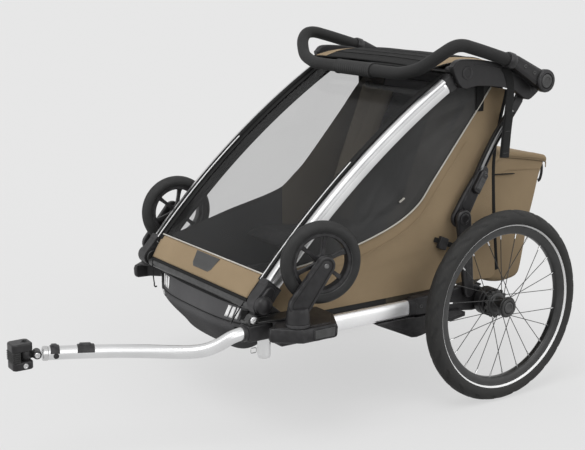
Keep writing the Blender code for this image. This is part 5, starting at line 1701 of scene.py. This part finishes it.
def makeTub():
    line = lineThrough(tub["line"], 4)
    spread = [tub["half"] * sin(pi / 2 * (-1 + 2 * i / 56)) for i in range(57)]
    rows = [[tubSpot(x, y, z) for x in spread] for y, z in line]
    addCloth("tub", rows, darkFabric, "chassis", outward=(0, -1, -1), thick=0.004, replaces=["belly"],
        flat=(0.48, 0.7), rests=["front_cross_tube", "rail_left", "rail_right"])
    for side, sign in sides:
        rows = []
        top = 0.286
        for y, z in line[:-4]:
            lip = max(z + 0.001, top if y > -0.6 else 0.3225 - (y + 0.692) * 0.4)
            x, y1, z1 = tubSpot(sign * tub["half"], y, z)
            rows.append([(x + (sign * (tub["half"] - 0.0044) - x) * (k / 8) ** 1.3, y1,
                z1 + (max(lip, z1 + 0.001) - z1) * k / 8) for k in range(9)])
        addCloth("tubSide" + side, rows, darkFabric, "chassis", outward=(sign, 0, 0), thick=0.0024,
            flat=(0.55, 0.14), rests=["rail_" + side])
    y = [a for a, b in line if b <= tub["seamHeight"]][0]
    seam = [Vector(tubSpot(tub["half"] * u / 30, y, tub["seamHeight"])) + Vector((0, -0.0026, 0))
        for u in range(-30, 31)]
    addTrim("tubSeam", seam, 0.0011, None, binding, "chassis")
    lip = [Vector(tubSpot(tub["half"] * u / 30, -0.6925, 0.3215)) + Vector((0, -0.001, 0.001))
        for u in range(-30, 31)]
    addTrim("tubLip", lip, 0.0055, 0.0016, binding, "chassis", side=(0, -1, 0.3))
    for side, sign in sides:
        for i in range(3):
            low = 0.15 + 0.0165 * i
            rows = []
            for v in range(6):
                z = 0.286 + 0.028 * v / 5
                y = -0.705 + (z - 0.279) * 0.33
                rows.append([tuple(Vector(tubSpot(sign * (low + 0.0115 * k / 4), y, z))
                    + Vector((0, -0.0042, 0))) for k in range(5)])
            addCloth(f"tubReflector{side}{i}", rows, reflector, "chassis", outward=(0, -1, 0), thick=0.0006)
    tab = [tuple(Vector(tubSpot(-0.178, -0.655 - 0.001 * k, 0.224 - 0.006 * k)) + Vector((0, -0.004, 0)))
        for k in range(4)]
    addTrim("tubTab", tab, 0.008, 0.001, binding, "chassis", side=(0, -1, -0.3))
    for side, sign in sides:
        for name, patch in (("High", [(0.199, 0.312), (0.222, 0.314), (0.222, 0.286), (0.207, 0.286)]),
                ("Low", [(0.196, 0.268), (0.221, 0.27), (0.21, 0.25), (0.208, 0.25)])):
            near, far, farLow, nearLow = [Vector(corner) for corner in patch]
            rows = []
            for v in range(6):
                row = []
                for k in range(6):
                    x, z = near.lerp(far, k / 5).lerp(nearLow.lerp(farLow, k / 5), v / 5)
                    y = [p for p, q in line if q <= z][0]
                    row.append(tuple(Vector(tubSpot(sign * x, y, z)) + Vector((0, -0.0046, 0))))
                rows.append(row)
            addCloth(f"tubVent{name}{side}", rows, binding, "chassis", outward=(0, -1, 0), thick=0.0006)
    loop = smoothLine([(0.2565, -0.6891 + y, 0.2335 + z) for y, z in ((-0.007, 0.0), (-0.007, -0.009),
        (0.0, -0.0105), (0.007, -0.009), (0.007, 0.0), (0.0, 0.0015))], 5, closed=True)
    addPiece("blockRing", sweep(loop, ring((0, 0), 0.0012, 10), closed=True), brightSteel, "chassis")


makeTub()
print("tub made")


# Padded seat: pads are puffed up by a short cloth simulation, seams are pressed in after it

seat = {
    "line": [(-0.43, 0.372), (-0.405, 0.392), (-0.33, 0.392), (-0.24, 0.38), (-0.185, 0.38), (-0.15, 0.405),
        (-0.128, 0.47), (-0.095, 0.56), (-0.055, 0.66), (-0.02, 0.745), (-0.008, 0.775)],
    "half": 0.213,
    "centre": 0.082,
    "padThick": 0.016,
    "voxel": 0.0055,
    "pressure": 4.0,
    "cap": 0.0055,
    "frames": 20,
    "foldStart": 0.43,
    "foldEnd": 0.66,
}


def seatPoint(share, x, lift):
    # a point on the seat's face: share 0 to 1 is the pan, 1 to 2 the back; lift is along its normal
    line = seat["lines"][0] if share <= 1 else seat["lines"][1]
    spot = (share if share <= 1 else share - 1) * (len(line) - 1)
    i = min(int(spot), len(line) - 2)
    a, b = Vector(line[i]), Vector(line[i + 1])
    heading = (b - a).normalized()
    normal = Vector((-heading.y, heading.x))
    u = abs(x) / seat["half"]
    wing = 0.075 * max(0.0, u - 0.55) ** 1.6 if share > 1 else 0.02 * max(0.0, u - 0.7) ** 1.5
    point = a.lerp(b, spot - i) + normal * (lift + wing)
    return Vector((x, point.x, point.y))


def prepareSeat():
    line = lineThrough(seat["line"], 8)
    bend = min(range(len(line)), key=lambda i: (line[i][0] + 0.16) ** 2 + (line[i][1] - 0.392) ** 2)
    seat["lines"] = (alongTo(line[:bend + 1], 40), alongTo(line[bend:], 60))


def puff(piece, alongU, alongV):
    # remesh, inflate under pressure with gravity off, cap the movement, then map the surface in metres
    scene = bpy.context.scene

    def settle():
        done = bpy.data.meshes.new_from_object(piece.evaluated_get(bpy.context.evaluated_depsgraph_get()))
        piece.modifiers.clear()
        old, piece.data = piece.data, done
        bpy.data.meshes.remove(old)

    step = piece.modifiers.new("evenMesh", "REMESH")
    step.mode = "VOXEL"
    step.voxel_size = seat["voxel"]
    settle()
    rest = [v.co.copy() for v in piece.data.vertices]
    step = piece.modifiers.new("puff", "CLOTH")
    step.settings.quality = 4
    step.settings.tension_stiffness = 25.0
    step.settings.compression_stiffness = 25.0
    step.settings.use_pressure = True
    step.settings.uniform_pressure_force = seat["pressure"]
    step.settings.effector_weights.gravity = 0.0
    step.point_cache.frame_start = 1
    step.point_cache.frame_end = seat["frames"]
    for frameNow in range(1, seat["frames"] + 1):
        scene.frame_set(frameNow)
    settle()
    scene.frame_set(1)
    for v, start in zip(piece.data.vertices, rest):
        move = v.co - start
        if move.length > seat["cap"]:
            v.co = start + move * (seat["cap"] / move.length)
    step = piece.modifiers.new("evenOut", "SMOOTH")
    step.factor, step.iterations = 0.6, 6
    settle()
    layer = piece.data.uv_layers.new(name="map")
    one, two = Vector(alongU), Vector(alongV)
    for loop in piece.data.loops:
        spot = piece.data.vertices[loop.vertex_index].co
        layer.data[loop.index].uv = (spot.dot(one), spot.dot(two))
    piece.data.shade_smooth()


def pressSeams(piece, distance, depth, width):
    # sinks the surface where distance(x, y, z) is near zero, in the drawing's own coordinates
    normals = [v.normal.copy() for v in piece.data.vertices]
    for v, normal in zip(piece.data.vertices, normals):
        away = distance(v.co.x, v.co.y - axleShift, v.co.z) / width
        v.co -= normal * depth * exp(-away * away)


def makePad(name, low, high, left, right, material, alongV, seams, fold=True, replaces=()):
    across, along = 15, 33
    front, back = [], []
    for i in range(along):
        share = low + (high - low) * i / (along - 1)
        edge = sin(pi * i / (along - 1)) ** 0.25
        frontRow, backRow = [], []
        for k in range(across):
            u = -1 + 2 * k / (across - 1)
            x = left + (right - left) * (u + 1) / 2
            rim = (1 - abs(u) ** 6) ** 0.5 * edge
            frontRow.append(seatPoint(share, x, 0.001 + seat["padThick"] * 0.5 * (0.35 + 0.65 * rim)))
            backRow.append(seatPoint(share, x, 0.001 - seat["padThick"] * 0.5 * (0.35 + 0.65 * rim)))
        front.append(frontRow)
        back.append(backRow[::-1])
    piece = addPiece(name, closedSkin([a + b for a, b in zip(front, back)]), material, None,
        replaces=replaces)
    puff(piece, (1, 0, 0), alongV)
    for distance, depth, width in seams:
        pressSeams(piece, distance, depth, width)
    step = piece.modifiers.new("smoothing", "SUBSURF")
    step.levels = step.render_levels = 1
    if fold:
        foldWith(piece)
    else:
        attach(piece, "chassis")
    return piece


def makeSeat():
    prepareSeat()
    backWay = (0, 0.36, 0.93)
    bend = {"start": seat["foldStart"], "end": seat["foldEnd"]}
    rows = [[tuple(seatPoint(share / 20, seat["half"] * (-1 + i / 14), -0.0125)) for i in range(29)]
        for share in range(1, 41)]
    addCloth("seatShell", rows[19:], roofFabric, outward=(0, -1, 0.4), thick=0.0016, flat=(0.43, 0.42),
        held="hung", rests=["roof_bar"], **bend)
    addCloth("seatSling", rows[:20], nightFabric, "chassis", outward=(0, 0, 1), thick=0.0016,
        flat=(0.43, 0.32), held="hung", rests=["rail_left", "rail_right"])
    ribs = [(lambda x, y, z, h=h: z - h, 0.004, 0.005) for h in (0.475, 0.545, 0.615, 0.685)]
    makePad("seatBackPad", 1.05, 1.97, -seat["centre"], seat["centre"], roofFabric, backWay, ribs,
        replaces=["seat"])
    for side, sign in sides:
        low, high = sorted((sign * (seat["centre"] + 0.003), sign * (seat["half"] - 0.004)))
        stitched = [(lambda x, y, z, s=sign: x - s * 0.152, 0.003, 0.0045)]
        makePad("seatWing" + side, 1.03, 1.985, low, high, seatFabric, backWay, stitched)
    across = [(lambda x, y, z, h=h: y - h, 0.0035, 0.005) for h in (-0.365, -0.295, -0.225)]
    along = [(lambda x, y, z, w=w: x - w, 0.003, 0.005) for w in (-0.105, 0.105)]
    makePad("seatPan", 0.02, 0.97, -seat["half"] + 0.006, seat["half"] - 0.006, roofFabric, (0, 1, 0),
        across + along, fold=False)
    for side, sign in sides:
        shoulder = [seatPoint(1 + s, sign * (0.034 + 0.014 * s), 0.0165 + 0.004 * sin(pi * s))
            for s in [0.02 + 0.88 * i / 24 for i in range(25)]]
        addTrim("shoulderStrap" + side, shoulder, 0.0125, 0.0012, webbing, side=(1, 0, 0), **bend)
        sleeve = [seatPoint(1 + s, sign * (0.034 + 0.014 * s), 0.019 + 0.004 * sin(pi * s))
            for s in [0.36 + 0.42 * i / 14 for i in range(15)]]
        addTrim("shoulderSleeve" + side, sleeve, 0.0185, 0.0042, binding, side=(1, 0, 0), count=20, **bend)
        lap = [seatPoint(0.93 + 0.05 * abs(t - 0.5), sign * (0.02 + 0.15 * t), 0.0165)
            for t in [i / 12 for i in range(13)]]
        addTrim("lapStrap" + side, lap, 0.012, 0.0012, webbing, "chassis", side=(0, 0.9, 0.4))
    crotch = [seatPoint(0.55 + 0.36 * i / 10, 0.0, 0.0155 + 0.006 * sin(pi * i / 10)) for i in range(11)]
    addTrim("crotchStrap", crotch, 0.0125, 0.0013, webbing, "chassis", side=(1, 0, 0))
    plan = belt([(-0.018, -0.214, 0.01), (0.018, -0.214, 0.01), (0.01, -0.18, 0.008),
        (-0.01, -0.18, 0.008)])
    addPiece("harnessBuckle", prism(plan, 0.3995, 0.4125, "Z"), blackPlastic, "chassis", 0.003)
    plan = belt([(-0.006, -0.206, 0.004), (0.006, -0.206, 0.004), (0.006, -0.192, 0.004),
        (-0.006, -0.192, 0.004)])
    addPiece("buckleButton", prism(plan, 0.4115, 0.4142, "Z"), greyPlastic, "chassis", 0.001)


makeSeat()
print("seat made")


# Lining, back panel, cargo bag, hand strap

sideStart = -0.2853    # y at which the inner lining ends and the seat's side begins
rear = {
    "liningTop": [(-0.633, 0.407), (-0.6021, 0.4131), (-0.5311, 0.4318), (-0.4522, 0.4531),
        (-0.355, 0.4758), (-0.312, 0.487), (sideStart, 0.4967), (-0.2651, 0.5117), (-0.2448, 0.5297),
        (-0.2143, 0.5553), (-0.1526, 0.6215), (-0.0868, 0.6967), (-0.0379, 0.7552), (-0.012, 0.783),
        (0.001, 0.796)],
    "sideFoot": [(sideStart, 0.27), (0.0, 0.275), (0.065, 0.3), (0.054, 0.5), (0.054, 0.64), (0.06, 0.74)],
    "backLine": [(0.08, 0.785), (0.05, 0.69), (0.04, 0.6), (0.048, 0.5), (0.078, 0.305)],
    "bagLine": [(0.0465, 0.56), (0.06, 0.574), (0.125, 0.612), (0.2, 0.603), (0.28, 0.588), (0.279, 0.57),
        (0.27, 0.545), (0.25, 0.45), (0.228, 0.35), (0.213, 0.28), (0.204, 0.263), (0.188, 0.2565),
        (0.145, 0.253), (0.102, 0.261), (0.088, 0.272), (0.0825, 0.3), (0.066, 0.4), (0.052, 0.5)],
    "bagHalf": 0.2045,
    "lidLine": [(0.0475, 0.5665), (0.062, 0.58), (0.09, 0.5985), (0.125, 0.616), (0.145, 0.6165),
        (0.2, 0.6085), (0.26, 0.5985), (0.283, 0.5938), (0.2868, 0.5905), (0.2865, 0.576)],
    "strap": [(0.2972, 0.057, 0.796), (0.2972, 0.0568, 0.775), (0.2974, 0.053, 0.74), (0.2978, 0.0475, 0.7),
        (0.2976, 0.0445, 0.66), (0.2972, 0.0425, 0.622)],
}


def bagRipple(x, y, z):
    return ripple(x * 1.5, y * 0.8, z * 0.8, 51.0) * 1.5


def makeLining(side, sign):
    top = lineThrough(rear["liningTop"], 6)
    bend = min(range(len(top)), key=lambda i: abs(top[i][0] - sideStart))
    for name, high, low, material, flat in (("lining", top[:bend + 1],
            [(-0.645, 0.276), (-0.465, 0.27), (sideStart, 0.27)], nightFabric, (0.2, 0.36)),
            ("seatSide", top[bend:], rear["sideFoot"], seatFabric, (0.5, 0.36))):
        rows = [[(sign * (cloth["plane"] - 0.009 + ripple(0, y, z, 61.0)), y, z) for y, z in row]
            for row in between(alongTo(high, 26), alongTo(low, 26), 11)]
        addCloth(name + side, rows, material, outward=(-sign, 0, 0), flat=flat, rests=["rail_" + side])


def makeBackPanel():
    line = lineThrough(rear["backLine"], 8)
    rows = [[(0.244 * (-1 + i / 18), y + ripple(0.25 * (-1 + i / 18), z, y, 71.0) * 0.8, z)
        for i in range(37)] for y, z in line]
    addCloth("backPanel", rows, darkFabric, outward=(0, 1, 0), thick=0.0016, replaces=["back_panel"],
        flat=(0.5, 0.51), held="hung", rests=["roof_bar"])
    for side, sign in sides:
        addTrim("backBinding" + side, [(sign * 0.2425, y - 0.001, z) for y, z in line], 0.0022, 0.001,
            binding, side=(1, 0, 0))
    hem = [(0.244 * (-1 + i / 18), line[0][0] + 0.0015, line[0][1]) for i in range(37)]
    addTrim("backHem", hem, 0.006, 0.0014, binding, side=(0, 0.2, 1))
    zipLine = [(0.236 * (-1 + i / 18), line[12][0] + 0.002, line[12][1]) for i in range(37)]
    addTrim("backZip", zipLine, 0.004, 0.0012, webbing, side=(0, 0.2, 1))


def makeCargoBag():
    line = [Vector(p) for p in alongTo(lineThrough(rear["bagLine"] + rear["bagLine"][:1], 5), 97)[:-1]]
    middle = Vector((0.165, 0.43))
    rows, count = [], 45
    for i in range(count):
        t = sin(pi / 2 * (-1 + 2 * i / (count - 1)))
        x = rear["bagHalf"] * t
        pull = 0.016 * (1 - sqrt(max(0.0, 1 - max(0.0, (abs(t) - 0.9) / 0.1) ** 2)))
        row = []
        for p in line:
            away = p - middle
            spot = middle + away * (1 - pull / away.length)
            sag = bagRipple(x, spot.x,
                spot.y) - 0.0045 * (1 - t * t) * sin(pi * min(1.0,
                max(0.0, (spot.y - 0.26) / 0.3))) * (spot.x > 0.18)
            row.append((x, spot.x + sag,
                spot.y + (bagRipple(x + 1.0, spot.x, spot.y) * 0.6 if spot.y < 0.57 else 0.0)))
        rows.append(row)
    piece = addPiece("cargoBag", closedSkin(rows), khaki, None, replaces=["cargo_bag"])
    foldWith(piece)
    lid = alongTo(lineThrough(rear["lidLine"], 5), 41)
    rows = []
    for n, (y, z) in enumerate(lid):
        row = []
        for i in range(27):
            u = -1 + 2 * i / 26
            row.append((u * 0.201, y, z + 0.0006 - 0.0016 * (1 - u * u) * sin(pi * n / 40) + bagRipple(u, y,
                z) * 0.5))
        rim = ((0.205, 0.0002), (0.2075, 0.0022), (0.2082, 0.008), (0.2078, 0.015))
        rows.append([(-x, y, z - drop) for x, drop in rim[::-1]] + row + [(x, y, z - drop)
            for x, drop in rim])
    addCloth("bagLid", rows, khaki, outward=(0, 0, 1), thick=0.002, flat=(0.46, 0.3), held="laid",
        rests=["cargo_bag"])
    for name, row in (("Left", [r[-1] for r in rows]), ("Right", [r[0] for r in rows])):
        addTrim("lidEdge" + name, row, 0.0014, None, khaki)
    addTrim("lidEdgeRear", rows[-1], 0.0014, None, khaki)
    for x, name in ((0.2062, "Left"), (-0.2062, "Right")):
        strap = [(x, 0.055, 0.56), (x * 1.004, 0.0692, 0.5606), (x * 1.01, 0.11, 0.5585),
            (x * 1.004, 0.1598, 0.5555), (x, 0.17, 0.5548)]
        addTrim("bagStrap" + name, strap, 0.004, 0.0012, webbing, side=(0, 0, 1))
        loop = smoothLine([(x * 0.96, y, z) for y, z in ((0.2765, 0.57), (0.2815, 0.564), (0.282, 0.545),
            (0.277, 0.528), (0.27, 0.524))], 5)
        addTrim("bagLoop" + name, loop, 0.005, 0.0012, webbing, side=(1, 0, 0))
        seam = [(x * 0.997, *p) for p in alongTo([(0.06, 0.545), (0.15, 0.566), (0.266, 0.5585)], 30)]
        addTrim("bagSeam" + name, seam, 0.0008, None, khaki)
    rearSeam = [(0.2045 * (-1 + i / 20), 0.2725 - 0.001, 0.556) for i in range(41)]
    addTrim("bagSeamRear", rearSeam, 0.001, None, khaki)


def makeHandStrap():
    path = [tuple(p) for p in smoothLine(rear["strap"], 10)]
    section = flatOval(0.0138, 0.0014, 16)
    piece = addPiece("handStrap", sweep(path, section, (1, 0, 0)), webbing, "upper_frame",
        replaces=["hand_strap"])
    over = [(x + 0.003, y + 0.0035, z) for x, y, z in path[len(path) * 2 // 5:]]
    addPiece("strapFold", sweep(over, flatOval(0.013, 0.0012, 16), (1, 0, 0)), webbing, "upper_frame")
    root = [(0.3004, 0.03, 0.856), (0.3004, 0.04, 0.844), (0.3004, 0.049, 0.825), (0.3, 0.0545, 0.805),
        (0.2985, 0.0565, 0.783)]
    addPiece("strapRoot", sweep(smoothLine(root, 6), flatOval(0.0125, 0.0006, 16), (1, 0, 0)), webbing,
        "upper_frame")
    for i, z in enumerate((0.69, 0.634)):
        near = min(path, key=lambda p: abs(p[2] - z))
        stitch = [(near[0] + 0.0042, near[1] - 0.0055 + 0.018 * k / 8, z + 0.0006 * (k % 2))
            for k in range(9)]
        addPiece(f"strapStitch{i}", sweep(stitch, ring((0, 0), 0.0005, 6)), greyPlastic, "upper_frame")


for side, sign in sides:
    makeLining(side, sign)
makeBackPanel()
makeCargoBag()
makeHandStrap()
print("rear cloth made")
